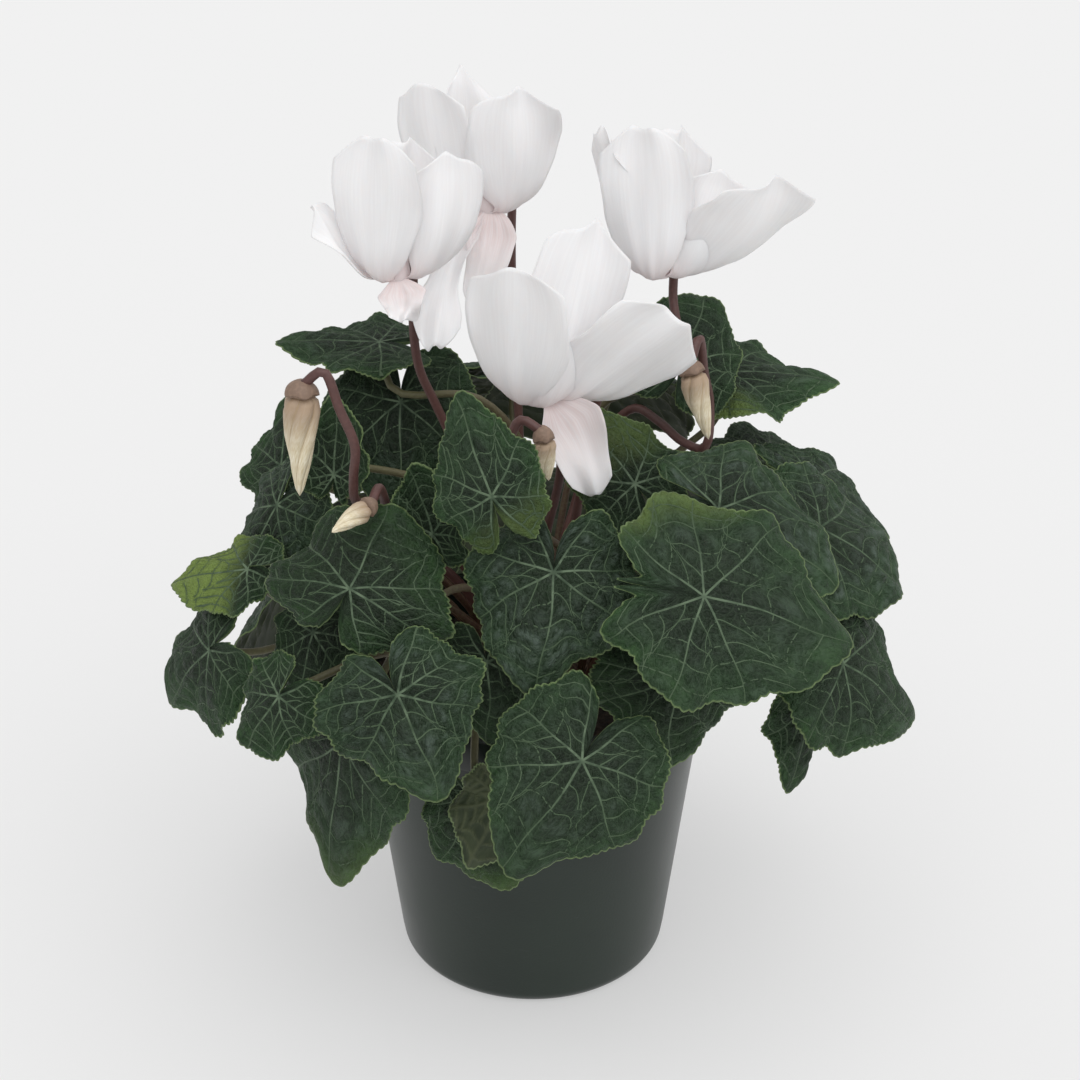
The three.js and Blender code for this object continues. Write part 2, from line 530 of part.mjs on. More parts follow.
// Petals: a centre line with a width direction that twists along it
function petalPoint(bloom, petal, s, q, offset) {
  const out = new THREE.Vector3(Math.sin(rad(petal.from)), -Math.cos(rad(petal.from)), 0);
  const mouth = vec(bloom.mouth);
  const tip = mouth.clone().add(vec(petal.tip));
  const start = mouth.clone().addScaledVector(out, TUBE_RADIUS - 1.4).add(new THREE.Vector3(0, 0, 1));
  const lip = start.clone().addScaledVector(out, PETAL_LIP[0]).add(new THREE.Vector3(0, 0, -PETAL_LIP[1]));
  const span = tip.clone().sub(mouth);
  const shoulder = tip.clone().addScaledVector(span, -0.5).addScaledVector(out, petal.belly);
  const line = new THREE.CubicBezierCurve3(start, lip, shoulder, tip);
  const centre = line.getPoint(s);
  const along = line.getTangent(s);
  const level = new THREE.Vector3(Math.cos(rad(petal.from)), Math.sin(rad(petal.from)), 0);
  const across = level.addScaledVector(along, -level.dot(along)).normalize();
  across.applyAxisAngle(along, rad(petal.twist) * Math.sin((Math.PI / 2) * Math.min(1, s / PETAL_TWIST_END)));
  const normal = new THREE.Vector3().crossVectors(along, across);
  const half = (petal.width / 2) * interpolate(PETAL_WIDTHS[petal.kind], s);
  const bulge = petal.trough * Math.sin(Math.PI * Math.min(1, s * 1.1)) * (q * q - 0.4);
  const ripple = 1.2 * s * s * q * Math.sin(9 * s + 3 * q);
  return centre.addScaledVector(across, half * q).addScaledVector(normal, bulge + ripple + offset);
}

function petalGeometry(bloom, petal) {
  return sheet(PETAL_ROWS, PETAL_COLUMNS, (row, column, side) => {
    const s = row / PETAL_ROWS;
    const q = (2 * column) / PETAL_COLUMNS - 1;
    return petalPoint(bloom, petal, s, q, (side * PETAL_THICKNESS) / 2);
  });
}

function corollaGeometry(bloom) {
  const profile = [
    [0, 2], [TUBE_RADIUS - 1.2, 0], [TUBE_RADIUS, 0], [TUBE_RADIUS - 1, TUBE_LENGTH], [0, TUBE_LENGTH],
  ];
  const tube = new THREE.LatheGeometry(profile.map(([r, z]) => new THREE.Vector2(r, z)), 10);
  tube.rotateX(Math.PI / 2);
  tube.translate(...bloom.mouth);
  return join([tube, ...bloom.petals.map((petal) => petalGeometry(bloom, petal))]);
}

// Calyx: a small dome with a toothed edge, given with its axis along +Z and its opening at z = 0
function calyxGeometry(radius, height) {
  const profile = [[0, 0], [radius, 0], [radius * 0.8, height * 0.55], [0, height]];
  const dome = new THREE.LatheGeometry(profile.map(([r, z]) => new THREE.Vector2(r, z)), 2 * BUD_RIDGES);
  dome.rotateX(Math.PI / 2);
  return dome;
}

// Bud: a pointed body with twisted ridges, from its base at the origin along +Z
function budGeometry(bud) {
  const length = vec(bud.neck).distanceTo(vec(bud.tip)) - CALYX_HEIGHT;
  const sides = 2 * BUD_RIDGES;
  const positions = [0, 0, 0];
  for (const [share, s] of BUD_SHAPE) {
    for (let i = 0; i < sides; i++) {
      const ridge = 1 + BUD_RIDGE_DEPTH * Math.cos(Math.PI * i);
      const angle = (2 * Math.PI * i) / sides + 2 * Math.PI * BUD_TURNS * s;
      const radius = bud.radius * share * ridge;
      positions.push(radius * Math.cos(angle), radius * Math.sin(angle), s * length);
    }
  }
  positions.push(0, 0, length);
  const last = 1 + BUD_SHAPE.length * sides;
  const at = (row, i) => 1 + row * sides + (i % sides);
  const index = [];
  for (let i = 0; i < sides; i++) {
    index.push(0, at(0, i + 1), at(0, i));
    for (let row = 0; row + 1 < BUD_SHAPE.length; row++) {
      index.push(at(row, i), at(row, i + 1), at(row + 1, i + 1));
      index.push(at(row, i), at(row + 1, i + 1), at(row + 1, i));
    }
    index.push(at(BUD_SHAPE.length - 1, i), at(BUD_SHAPE.length - 1, i + 1), last);
  }
  const geometry = new THREE.BufferGeometry();
  geometry.setAttribute('position', new THREE.Float32BufferAttribute(positions, 3));
  geometry.setIndex(index);
  return geometry;
}

// Turns a geometry made along +Z so that +Z points from one place towards another
function pointed(geometry, from, direction) {
  const up = new THREE.Vector3(0, 0, 1);
  const turn = new THREE.Quaternion().setFromUnitVectors(up, direction.clone().normalize());
  geometry.applyQuaternion(turn);
  geometry.translate(from.x, from.y, from.z);
  return geometry;
}

const BENDS = stalkBends();

// The plant: leaves from the lists, then clearances, then stalks
function allLeaves() {
  const random = seededRandom(BACK_SEED);
  const leaves = FRONT_LEAVES.map((leaf) => ({ ...leaf }));
  for (const ring of BACK_RINGS) {
    for (let i = 0; i < ring.count; i++) {
      const azimuth = ring.first + ((ring.last - ring.first) * i) / (ring.count - 1) + 8 * (random() - 0.5);
      const reach = ring.reach + 8 * (random() - 0.5);
      const height = ring.height + 12 * (random() - 0.5);
      leaves.push({
        name: ring.name + '_' + (i + 1),
        at: [reach * Math.sin(rad(azimuth)), -reach * Math.cos(rad(azimuth)), height],
        face: [azimuth + 16 * (random() - 0.5), ring.rise + 14 * (random() - 0.5)],
        spin: 50 * (random() - 0.5),
        length: ring.length * (0.9 + 0.2 * random()),
        roll: [20 + 20 * random(), 20 + 20 * random()],
        bow: [30, 20],
        wave: [1.8, 4, 6 * random()],
        wide: 1,
        hidden: true,
      });
    }
  }
  for (const [rank, leaf] of leaves.entries()) {
    leaf.mobility = 0.1 + rank / leaves.length; // the outermost leaves stay where they are
    leaf.points = leaf.hidden ? HIDDEN_MARGIN_POINTS : MARGIN_POINTS;
    leaf.frame = leafFrame(leaf);
    leaf.samples = bladeSamples(leaf);
    leaf.middle = middleOf(leaf.samples);
    leaf.extent = Math.max(...leaf.samples.map((sample) => sample.distanceTo(leaf.middle)));
  }
  return leaves;
}

function moveLeaf(leaf, shift) {
  leaf.frame.at.add(shift);
  leaf.middle.add(shift);
  for (const sample of leaf.samples) sample.add(shift);
}

// How far an outer and an inner set of points are apart along a direction, where one covers the other
function separation(outer, inner, direction) {
  let least = Infinity;
  let most = -Infinity;
  for (const p of outer) {
    for (const q of inner) {
      const [x, y, z] = [p.x - q.x, p.y - q.y, p.z - q.z];
      const along = x * direction.x + y * direction.y + z * direction.z;
      const square = x * x + y * y + z * z - along * along;
      if (square > COVER_REACH * COVER_REACH) continue;
      if (along < least) least = along;
      if (along > most) most = along;
    }
  }
  return [least, most];
}

function middleOf(samples) {
  const sum = new THREE.Vector3();
  for (const sample of samples) sum.add(sample);
  return sum.divideScalar(samples.length);
}

// Shift that clears one blade from another set of points, along the direction out of the crown
function clearingShift(outer, inner, clearance) {
  const heart = new THREE.Vector3(0, 0, 110);
  const a = middleOf(outer).sub(heart).normalize();
  const b = middleOf(inner).sub(heart).normalize();
  const direction = a.add(b).normalize();
  const [least, most] = separation(outer, inner, direction);
  if (least === Infinity || least >= clearance || most <= -clearance) return null;
  const outward = clearance - least;
  const inward = clearance + most;
  return outward <= 2.5 * inward ? direction.multiplyScalar(outward) : direction.multiplyScalar(-inward);
}

// Blades move apart like tiles on a roof until each pair has its clearance
function settleLeaves(leaves, fixed) {
  for (let round = 0; round < SETTLING_ROUNDS; round++) {
    let moved = false;
    for (let i = 0; i < leaves.length; i++) {
      for (let j = i + 1; j < leaves.length; j++) {
        const [a, b] = [leaves[i], leaves[j]];
        if (a.middle.distanceTo(b.middle) > a.extent + b.extent + BLADE_CLEARANCE) continue;
        const shift = clearingShift(a.samples, b.samples, BLADE_CLEARANCE);
        if (!shift) continue;
        moved = true;
        shift.multiplyScalar(0.6).clampLength(0, 3);
        const share = a.mobility / (a.mobility + b.mobility);
        moveLeaf(a, shift.clone().multiplyScalar(share));
        moveLeaf(b, shift.multiplyScalar(share - 1));
      }
    }
    for (const leaf of leaves) {
      for (const body of fixed) {
        const shift = clearingShift(body, leaf.samples, BLADE_CLEARANCE);
        if (!shift) continue;
        moved = true;
        moveLeaf(leaf, shift.multiplyScalar(-0.6).clampLength(0, 2));
      }
      const shove = potShove(leaf);
      if (shove) {
        moved = true;
        moveLeaf(leaf, shove);
      }
    }
    if (!moved) break;
  }
}

// Outward shift that keeps a blade off the pot's wall and rim
function potShove(leaf) {
  let worst = 0;
  let direction = null;
  for (const sample of leaf.samples) {
    if (sample.z > POT_HEIGHT + 2) continue;
    const reach = Math.hypot(sample.x, sample.y);
    const lack = potRadius(sample.z) + RIM_BAND_STEP + 2.5 - reach;
    if (lack > worst) {
      worst = lack;
      direction = new THREE.Vector3(sample.x / reach, sample.y / reach, 0);
    }
  }
  return direction && direction.multiplyScalar(Math.min(worst, 3) * 0.7);
}

// Distances to everything already placed, looked up in a grid of cells
class PointGrid {
  constructor(cell) {
    this.cell = cell;
    this.cells = new Map();
  }

  key(x, y, z) {
    const [i, j, k] = [x, y, z].map((value) => Math.floor(value / this.cell) + 500);
    return (i * 1000 + j) * 1000 + k;
  }

  add(point, owner, reach) {
    const key = this.key(point.x, point.y, point.z);
    if (!this.cells.has(key)) this.cells.set(key, []);
    this.cells.get(key).push({ point, owner, reach });
  }

  // The least spare distance from a point to the stored ones, each less its own reach
  spare(point, owner) {
    let least = this.cell;
    for (const dx of [-1, 0, 1]) {
      for (const dy of [-1, 0, 1]) {
        for (const dz of [-1, 0, 1]) {
          const key = this.key(point.x + dx * this.cell, point.y + dy * this.cell, point.z + dz * this.cell);
          for (const entry of this.cells.get(key) || []) {
            if (entry.owner === owner) continue;
            least = Math.min(least, entry.point.distanceTo(point) - entry.reach);
          }
        }
      }
    }
    return least;
  }
}

// Spare distance from a point to the pot's wall, on the side of the wall where the point lies
function potSpare(point) {
  if (point.z > POT_HEIGHT + 3) return Infinity;
  const reach = Math.hypot(point.x, point.y);
  const wall = potRadius(point.z);
  return reach < wall ? wall - POT_WALL - reach - 0.5 : reach - wall - RIM_BAND_STEP - 0.5;
}

// Feet of the stalks on the tuber, from the middle of the crown outwards
function crownSlots(count) {
  const slots = [];
  for (let i = 0; i < count; i++) {
    const reach = CROWN_SPACING * Math.sqrt(i + 0.5);
    const angle = i * GOLDEN_ANGLE;
    const height = TUBER_CENTRE + TUBER_HALF_HEIGHT * Math.sqrt(1 - (reach / TUBER_RADIUS) ** 2);
    const foot = new THREE.Vector3(reach * Math.cos(angle), reach * Math.sin(angle), height - SOCKET_DEPTH);
    slots.push({ foot, free: true });
  }
  return slots;
}

// Takes the free slot that faces the target best, out of the few outermost or innermost ones
function takeSlot(slots, target, count, fromOutside) {
  const turnOf = (slot) => {
    const cross = slot.foot.x * target.y - slot.foot.y * target.x;
    const dot = slot.foot.x * target.x + slot.foot.y * target.y;
    return Math.abs(Math.atan2(cross, dot));
  };
  const free = slots.filter((slot) => slot.free);
  const near = fromOutside ? free.slice(-count) : free.slice(0, count);
  const best = near.reduce((a, b) => (turnOf(b) < turnOf(a) ? b : a));
  best.free = false;
  return best.foot;
}

// Bends that a stalk may take on its way: shares of its length, the gentlest first
function stalkBends() {
  const bends = [];
  for (const up of [0.1, 0.2, 0.3, 0, 0.4]) {
    for (const aside of [0, -0.1, 0.1, -0.2, 0.2, -0.32, 0.32]) {
      for (const out of [0, 0.15, -0.15]) {
        for (const swing of [0, -0.4, 0.4, -0.8, 0.8]) {
          for (const drop of [0, 0.5, 1]) {
            const cost = Math.abs(up - 0.1) + 1.5 * Math.abs(aside) + Math.abs(out)
              + 0.4 * Math.abs(swing) + 0.3 * drop;
            bends.push({ up, aside, out, swing, drop, cost });
          }
        }
      }
    }
  }
  return bends.sort((a, b) => a.cost - b.cost);
}

// The gentlest route from a foot to an end that keeps clear of everything placed
function routeStalk(foot, end, arrival, radius, owner, grid, ownNet) {
  const outward = new THREE.Vector3(end.x, end.y, 0).normalize();
  const sideways = new THREE.Vector3(-outward.y, outward.x, 0);
  const distance = foot.distanceTo(end);
  const last = Math.min(14, 0.25 * distance);
  const footLean = new THREE.Vector3(STALK_LEAN * foot.x, STALK_LEAN * foot.y, 1).normalize();
  let best = null;
  for (const bend of BENDS) {
    const direction = arrival.clone()
      .addScaledVector(sideways, bend.swing)
      .add(new THREE.Vector3(0, 0, arrival.z < -0.3 ? -bend.drop : bend.drop))
      .normalize();
    const before = end.clone().addScaledVector(direction, -last);
    const collar = foot.clone().addScaledVector(footLean, STALK_COLLAR);
    const lifted = foot.clone().addScaledVector(footLean, STALK_LIFT);
    const via = lifted.clone().lerp(before, 0.5)
      .addScaledVector(outward, bend.out * distance)
      .addScaledVector(sideways, bend.aside * distance)
      .add(new THREE.Vector3(0, 0, bend.up * distance));
    const curve = new THREE.CatmullRomCurve3([foot, collar, lifted, via, before, end], false, 'centripetal');
    const floor = best ? best.spare : -Infinity;
    let spare = Infinity;
    const count = ROUTE_STEPS;
    for (let i = 2; i <= count && spare > floor; i++) {
      const point = curve.getPoint(i / count);
      if (i < count - 1) spare = Math.min(spare, grid.spare(point, owner));
      spare = Math.min(spare, potSpare(point));
      if (i < count - 8) {
        for (const own of ownNet) spare = Math.min(spare, own.distanceTo(point) - SKIN);
      }
    }
    if (!best || spare > best.spare) best = { curve, radius, spare };
    if (best.spare >= radius + STALK_ROOM) break;
  }
  return best;
}

function placeStalk(stalk, owner, grid) {
  const count = Math.ceil(stalk.curve.getLength() / 2);
  for (const point of stalk.curve.getSpacedPoints(count)) grid.add(point, owner, stalk.radius);
}

// Plant assembly
function buildPlant() {
  const leaves = allLeaves();
  const bloomSamples = BLOOMS.map((bloom) => {
    const samples = [];
    for (const petal of bloom.petals) {
      for (let row = 1; row <= 20; row++) {
        for (let column = -5; column <= 5; column++) {
          samples.push(petalPoint(bloom, petal, row / 20, column / 5, 0));
        }
      }
    }
    return samples;
  });
  const budSamples = BUDS.map((bud) => {
    const samples = [];
    const [neck, tip] = [vec(bud.neck), vec(bud.tip)];
    for (let i = -3; i <= 12; i++) {
      const centre = neck.clone().lerp(tip, i / 12);
      for (const [x, y] of [[1, 0], [-1, 0], [0, 1], [0, -1]]) {
        samples.push(centre.clone().add(new THREE.Vector3(x * bud.radius, y * bud.radius, 0)));
      }
    }
    return samples;
  });
  settleLeaves(leaves, [...bloomSamples, ...budSamples]);

  const grid = new PointGrid(6);
  leaves.forEach((leaf) => bladeNet(leaf).forEach((p) => grid.add(p, leaf.name, SKIN)));
  BLOOMS.forEach((bloom, i) => bloomSamples[i].forEach((p) => grid.add(p, bloom.name + '_petals', SKIN)));
  BUDS.forEach((bud, i) => budSamples[i].forEach((p) => grid.add(p, bud.name, 0)));

  const slots = crownSlots(leaves.length + BLOOMS.length + BUDS.length);
  const stalks = new Map();
  const flowers = [...BLOOMS, ...BUDS];
  const upward = new THREE.Vector3(0, 0, 1);
  const petals = bloomSamples.flat();
  for (const flower of flowers) {
    const hook = flower.neck
      ? flowerHook(flower, flower.hookSide, BUD_HOOK_REACH)
      : roomiestHook(flower, petals);
    const foot = takeSlot(slots, hook.start, 9, false);
    const stalk = routeStalk(foot, hook.start, upward, FLOWER_STALK_RADIUS, flower.name, grid, []);
    stalk.hook = hook;
    stalks.set(flower.name, stalk);
    placeStalk(stalk, flower.name, grid);
    for (const point of hook.line.getSpacedPoints(20)) grid.add(point, flower.name, stalk.radius);
  }
  const outerFirst = [...leaves].sort((a, b) => reachOf(b) - reachOf(a));
  for (const leaf of outerFirst) {
    const foot = takeSlot(slots, leaf.frame.at, 10, true);
    const end = leaf.frame.at.clone();
    const arrival = leaf.frame.face.clone();
    if (arrival.dot(new THREE.Vector3(end.x, end.y, 40)) < 0) arrival.negate();
    const low = THREE.MathUtils.clamp((POT_HEIGHT + 25 - end.z) / 25, 0, 1); // these come down over the rim
    arrival.add(new THREE.Vector3(0, 0, -2 * low)).normalize();
    const own = bladeNet(leaf).filter((p) => p.distanceTo(end) > 9);
    const stalk = routeStalk(foot, end, arrival, LEAF_STALK_RADIUS, leaf.name, grid, own);
    stalks.set(leaf.name, stalk);
    placeStalk(stalk, leaf.name, grid);
  }
  return { leaves, stalks };
}

function reachOf(leaf) {
  return Math.hypot(leaf.frame.at.x, leaf.frame.at.y) - 0.5 * (leaf.frame.at.z - POT_HEIGHT);
}

// The hooked end of a flower stalk: up beside the flower, over, and down into its calyx
function flowerHook(flower, azimuth, reach) {
  const isBud = Boolean(flower.neck);
  const top = isBud ? vec(flower.neck) : vec(flower.mouth).add(new THREE.Vector3(0, 0, TUBE_LENGTH + 3.4));
  const axis = isBud ? vec(flower.neck).sub(vec(flower.tip)).normalize() : new THREE.Vector3(0, 0, 1);
  const angle = rad(azimuth);
  const side = new THREE.Vector3(Math.sin(angle), -Math.cos(angle), 0);
  const lift = isBud ? flower.lift : 6;
  const spread = isBud ? 5 : 0; // a bud's stalk leans away from it below the hook
  const at = (sideways, up) => top.clone().addScaledVector(side, sideways).add(new THREE.Vector3(0, 0, up));
  const drop = isBud ? flower.drop || 22 : 24;
  const start = at(reach + 1.6 * spread, -drop);
  const points = [
    start,
    at(reach + 0.7 * spread, -0.45 * drop),
    at(reach, lift * 0.1),
    at(reach * 0.55, lift),
    at(reach * 0.15, lift * 0.75),
    top.clone().addScaledVector(axis, -1),
  ];
  return { start, line: new THREE.CatmullRomCurve3(points, false, 'centripetal'), top, axis };
}

// The hook on the side of a bloom where the petals leave it most room
function roomiestHook(bloom, petals) {
  let best = null;
  for (const reach of BLOOM_HOOK_REACHES) {
    for (let azimuth = 90; azimuth <= 270; azimuth += 3) { // on the far side, where the petals hide it
      const hook = flowerHook(bloom, azimuth, reach);
      const line = hook.line.getSpacedPoints(24).filter((point) => point.distanceTo(hook.top) > 5);
      hook.room = Infinity;
      for (const point of line) {
        for (const petal of petals) hook.room = Math.min(hook.room, petal.distanceTo(point));
      }
      if (!best || hook.room > best.room) best = hook;
    }
  }
  return best;
}

// One smooth curve from the foot to the end of the hook
function wholeFlowerLine(stalk) {
  const rise = stalk.curve.getSpacedPoints(8);
  const points = [...rise.slice(0, -1), ...stalk.hook.line.getSpacedPoints(7)];
  return new THREE.CatmullRomCurve3(points, false, 'centripetal');
}

function flowerStalkGeometry(flower, stalk) {
  const line = wholeFlowerLine(stalk);
  const pieces = [rod(line, FLOWER_STALK_RADIUS, FLOWER_STALK_SIDES, FLOWER_STALK_STEPS)];
  const isBud = Boolean(flower.neck);
  const calyx = calyxGeometry(isBud ? flower.radius * 0.85 : TUBE_RADIUS, CALYX_HEIGHT);
  const base = isBud
    ? vec(flower.neck).addScaledVector(stalk.hook.axis, -CALYX_SEAT)
    : vec(flower.mouth).add(new THREE.Vector3(0, 0, TUBE_LENGTH + FIT_GAP));
  pieces.push(pointed(calyx, base, stalk.hook.axis));
  return join(pieces);
}

function placedBud(bud) {
  const axis = vec(bud.neck).sub(vec(bud.tip)).normalize();
  const start = vec(bud.neck).addScaledVector(axis, -CALYX_SEAT - FIT_GAP);
  return pointed(budGeometry(bud), start, axis.negate());
}

// Scene graph
function piece(name, geometry, colour) {
  const [hex, roughness] = COLOURS[colour];
  const material = new THREE.MeshStandardMaterial({ color: hex, roughness, metalness: 0 });
  material.name = name;
  const mesh = new THREE.Mesh(geometry, material);
  mesh.name = name;
  return mesh;
}

const plant = buildPlant();
const cyclamen = new THREE.Group();
cyclamen.add(piece('pot', makePot(), 'pot'));
cyclamen.add(piece('soil', makeSoil(), 'soil'));
cyclamen.add(piece('tuber', cut(tuberBall(0), [...plant.stalks.values()].map(socket)), 'tuber'));
for (const leaf of plant.leaves) {
  const stalk = plant.stalks.get(leaf.name);
  const blade = bladeGeometry(leaf);
  const tint = { left_silver: 'silver', left_lime: 'lime' }[leaf.name] || 'leaf';
  const stem = rod(stalk.curve, stalk.radius, LEAF_STALK_SIDES, LEAF_STALK_STEPS);
  cyclamen.add(piece('leaf_' + leaf.name, join([blade, stem]), tint));
}
for (const bloom of BLOOMS) {
  cyclamen.add(piece(bloom.name + '_petals', corollaGeometry(bloom), 'petal'));
  const stalk = flowerStalkGeometry(bloom, plant.stalks.get(bloom.name));
  cyclamen.add(piece(bloom.name + '_stalk', stalk, 'stalk'));
}
for (const bud of BUDS) {
  cyclamen.add(piece(bud.name + '_petals', placedBud(bud), 'bud'));
  const stalk = flowerStalkGeometry(bud, plant.stalks.get(bud.name));
  cyclamen.add(piece(bud.name + '_stalk', stalk, 'stalk'));
}

export default cyclamen;
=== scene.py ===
import math
import bpy
import numpy as np
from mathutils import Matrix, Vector
from mathutils.bvhtree import BVHTree
from mathutils.kdtree import KDTree


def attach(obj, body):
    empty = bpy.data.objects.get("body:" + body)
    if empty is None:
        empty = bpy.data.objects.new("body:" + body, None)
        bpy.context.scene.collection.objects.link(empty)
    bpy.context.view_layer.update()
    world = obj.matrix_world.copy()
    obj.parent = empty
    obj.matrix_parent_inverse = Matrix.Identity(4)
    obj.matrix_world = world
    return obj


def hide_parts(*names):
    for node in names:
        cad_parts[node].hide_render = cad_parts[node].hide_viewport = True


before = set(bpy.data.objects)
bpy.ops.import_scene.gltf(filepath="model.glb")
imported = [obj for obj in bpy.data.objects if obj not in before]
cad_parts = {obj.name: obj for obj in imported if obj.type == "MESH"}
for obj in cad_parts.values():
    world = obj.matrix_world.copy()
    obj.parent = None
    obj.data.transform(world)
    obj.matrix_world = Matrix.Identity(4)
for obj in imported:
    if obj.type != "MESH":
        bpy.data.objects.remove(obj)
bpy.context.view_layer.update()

# A white-flowered cyclamen in its nursery pot. Lengths here are millimetres, and MM turns them into
# Blender's metres. +Z is up, the front looks towards -Y and the origin is the middle of the pot's foot.
MM = 0.001
SCENE = bpy.context.scene

# Leaf blades, the same leaves as the solids have.
# face: azimuth and elevation of the upper side. spin: turn of the tip away from downhill.
# roll and bow: bends, left and right, tip and lobes. wave: height, number and phase of the margin's waves.
# wide: width as a share of the length. silver and light: strength of grey marbling and of fresh green.
# corners: places where the outline stands out or in: angle from the tip, share of the radius, spread.
# lime: strength of the lime tint, the side it lies on as an angle from the tip, and how far out it starts.
# lobes: length of the two lobes beside the stalk. hidden: mostly behind other leaves, so it's coarser.
def blade(face, spin, length, roll, bow, wave, wide, silver, light, **rest):
    return dict(face=face, spin=spin, length=length, roll=roll, bow=bow, wave=wave, wide=wide, silver=silver,
                light=light, **rest)


LEAVES = {
    "front_centre": blade((6, 30), -32, 37, (20, 25), (35, 20), (2.2, 3, 0.4), 1.05, 0.35, 0),
    "right_large": blade((18, 44), 70, 47, (20, 15), (25, 15), (2.2, 4, 0), 0.98, 0.3, 0.35,
        lime=(0.6, -110, 0.7), corners=[(-110, 0.16, 13), (180, 2.6, 5), (-180, 2.6, 5)]),
    "upright": blade((-8, 18), -158, 29, (25, 35), (25, 30), (1.2, 4, 1), 0.85, 0.3, 0.6,
        lime=(0.35, 165, 0.25)),
    "left_bright": blade((-30, 28), -30, 22, (35, 35), (30, 20), (1.5, 4, 2), 1.05, 0.2, 0.8),
    "left_wide": blade((-14, 48), 165, 31, (30, 30), (25, 35), (2.2, 4, 2.5), 1.45, 0, 0,
        corners=[(80, 0.08, 16), (-95, 0.1, 14)]),
    "front_grey": blade((-6, 30), 25, 30, (30, 20), (30, 25), (2.6, 4, 1), 1.2, 0.7, 0.2,
        corners=[(96, 0.13, 14)]),
    "centre_grey": blade((0, 38), -5, 34, (20, 30), (30, 20), (2.8, 4, 0.5), 1.15, 0.75, 0,
        corners=[(38, 0.09, 14), (-10, -0.08, 12), (-48, 0.08, 14)]),
    "left_cup": blade((-16, 14), 178, 25, (-65, -65), (-20, -25), (0.8, 4, 0), 0.85, 0.15, 0.4, lobes=0.6),
    "left_silver": blade((-46, 32), -16, 30, (45, 50), (25, 15), (1.2, 5, 0), 0.95, 1, 0),
    "left_lime": blade((-44, 60), -62, 28, (30, 20), (20, 15), (1.4, 4, 1.4), 0.85, 0.1, 0.3, lobes=0.7,
        lime=(1, 0, 0.05)),
    "left_low": blade((-50, 24), -42, 32, (25, 35), (30, 20), (2.4, 4, 0.7), 1.1, 0.3, 0.6, lobes=0.8,
        corners=[(60, 0.12, 14), (-50, 0.1, 14)]),
    "front_low": blade((2, 6), 20, 35, (25, 30), (10, 20), (1.2, 4, 2), 0.85, 0.1, 0.5, lobes=0.55,
        lime=(0.2, 0, 0.7), corners=[(50, 0.1, 13)]),
    "left_hanging": blade((-34, 6), -4, 48, (45, 40), (15, 20), (2.2, 5, 1), 0.75, 0.35, 0.4, lobes=0.55,
        lime=(0.25, 0, 0.75), corners=[(40, 0.12, 13), (75, 0.12, 12)]),
    "front_turned": blade((172, -18), 20, 24, (-30, -30), (-15, -10), (1, 4, 0), 0.85, 0.3, 0, lobes=0.7),
    "middle_cup": blade((-10, 24), -165, 21, (-60, -60), (-30, -20), (0.8, 4, 1), 0.95, 0.1, 0,
        hidden=True),
    "upper_right": blade((22, 55), 49, 42, (25, 30), (30, 35), (1.5, 4, 1.5), 1, 0.75, 0.5),
    "right_middle": blade((48, 48), 41, 40, (25, 30), (30, 20), (1.4, 4, 2), 0.95, 0.7, 0.4),
    "right_upper": blade((55, 58), 40, 34, (25, 25), (30, 20), (1.4, 4, 0), 0.95, 0.9, 0.5),
    "right_low": blade((42, 30), 50, 39, (40, 30), (30, 20), (2.4, 4, 0.3), 1, 0.3, 0.5,
        corners=[(55, 0.1, 14), (-45, 0.12, 13)]),
    "right_shaded": blade((14, 22), -8, 26, (30, 20), (25, 10), (1.8, 4, 1), 1.5, 0.05, 0.3),
    "right_hanging": blade((38, 6), -15, 30, (40, 40), (15, 10), (1.2, 4, 1), 0.8, 0.2, 0.6, lobes=0.7),
    "middle_low": blade((-4, 24), 10, 24, (25, 25), (20, 20), (1.2, 4, 1), 1.1, 0.2, 0, hidden=True),
    "left_inner": blade((-32, 30), 0, 24, (25, 25), (20, 20), (1.2, 4, 2), 1, 0.2, 0, hidden=True),
    "top_left": blade((-20, 86), -75, 31, (12, 8), (8, 12), (1.5, 5, 0.5), 0.95, 0.4, 0.5),
    "behind_left": blade((-8, 36), 4, 36, (25, 25), (30, 20), (1.5, 4, 0), 1.05, 0.3, 0, hidden=True),
    "left_green": blade((-42, 40), -150, 27, (25, 25), (25, 20), (1.5, 4, 1), 0.95, 0.1, 0.9, hidden=True),
    "right_small": blade((10, 38), -152, 27, (20, 20), (20, 20), (0.8, 4, 0), 1, 0.2, 0, lime=(0.3, 0, 0.2),
        hidden=True),
    "right_dark": blade((12, 45), 150, 29, (25, 25), (20, 20), (1, 4, 2), 1, 0.2, 0, hidden=True),
    "right_back": blade((40, 66), 70, 32, (25, 25), (30, 20), (1.4, 4, 1), 0.95, 0.6, 0.4, hidden=True),
    "top_right": blade((14, 78), 83, 34, (20, 20), (20, 25), (2.6, 5, 1), 0.95, 0.4, 1,
        lime=(0.6, 150, 0.1)),
}

# Leaves at the back, drawn with the same rule and seed as the solids
BACK_SEED = 7
BACK_RINGS = [
    dict(name="back_low", first=118, last=244, count=5, rise=26, length=50),
    dict(name="back_high", first=144, last=216, count=3, rise=42, length=40),
]

# Blade shape, shared with the solids
OUTLINE = [(0, 1), (12, 0.95), (25, 0.85), (45, 0.75), (67.5, 0.69), (90, 0.67),
           (112.5, 0.67), (135, 0.66), (155, 0.61), (168, 0.48), (180, 0.1)]
MARGIN_POINTS = 24
HIDDEN_MARGIN_POINTS = 16
MARGIN_LOBE = 0.03
MARGIN_UNEVENNESS = 0.05
SOLID_BLADE_THICKNESS = 0.8

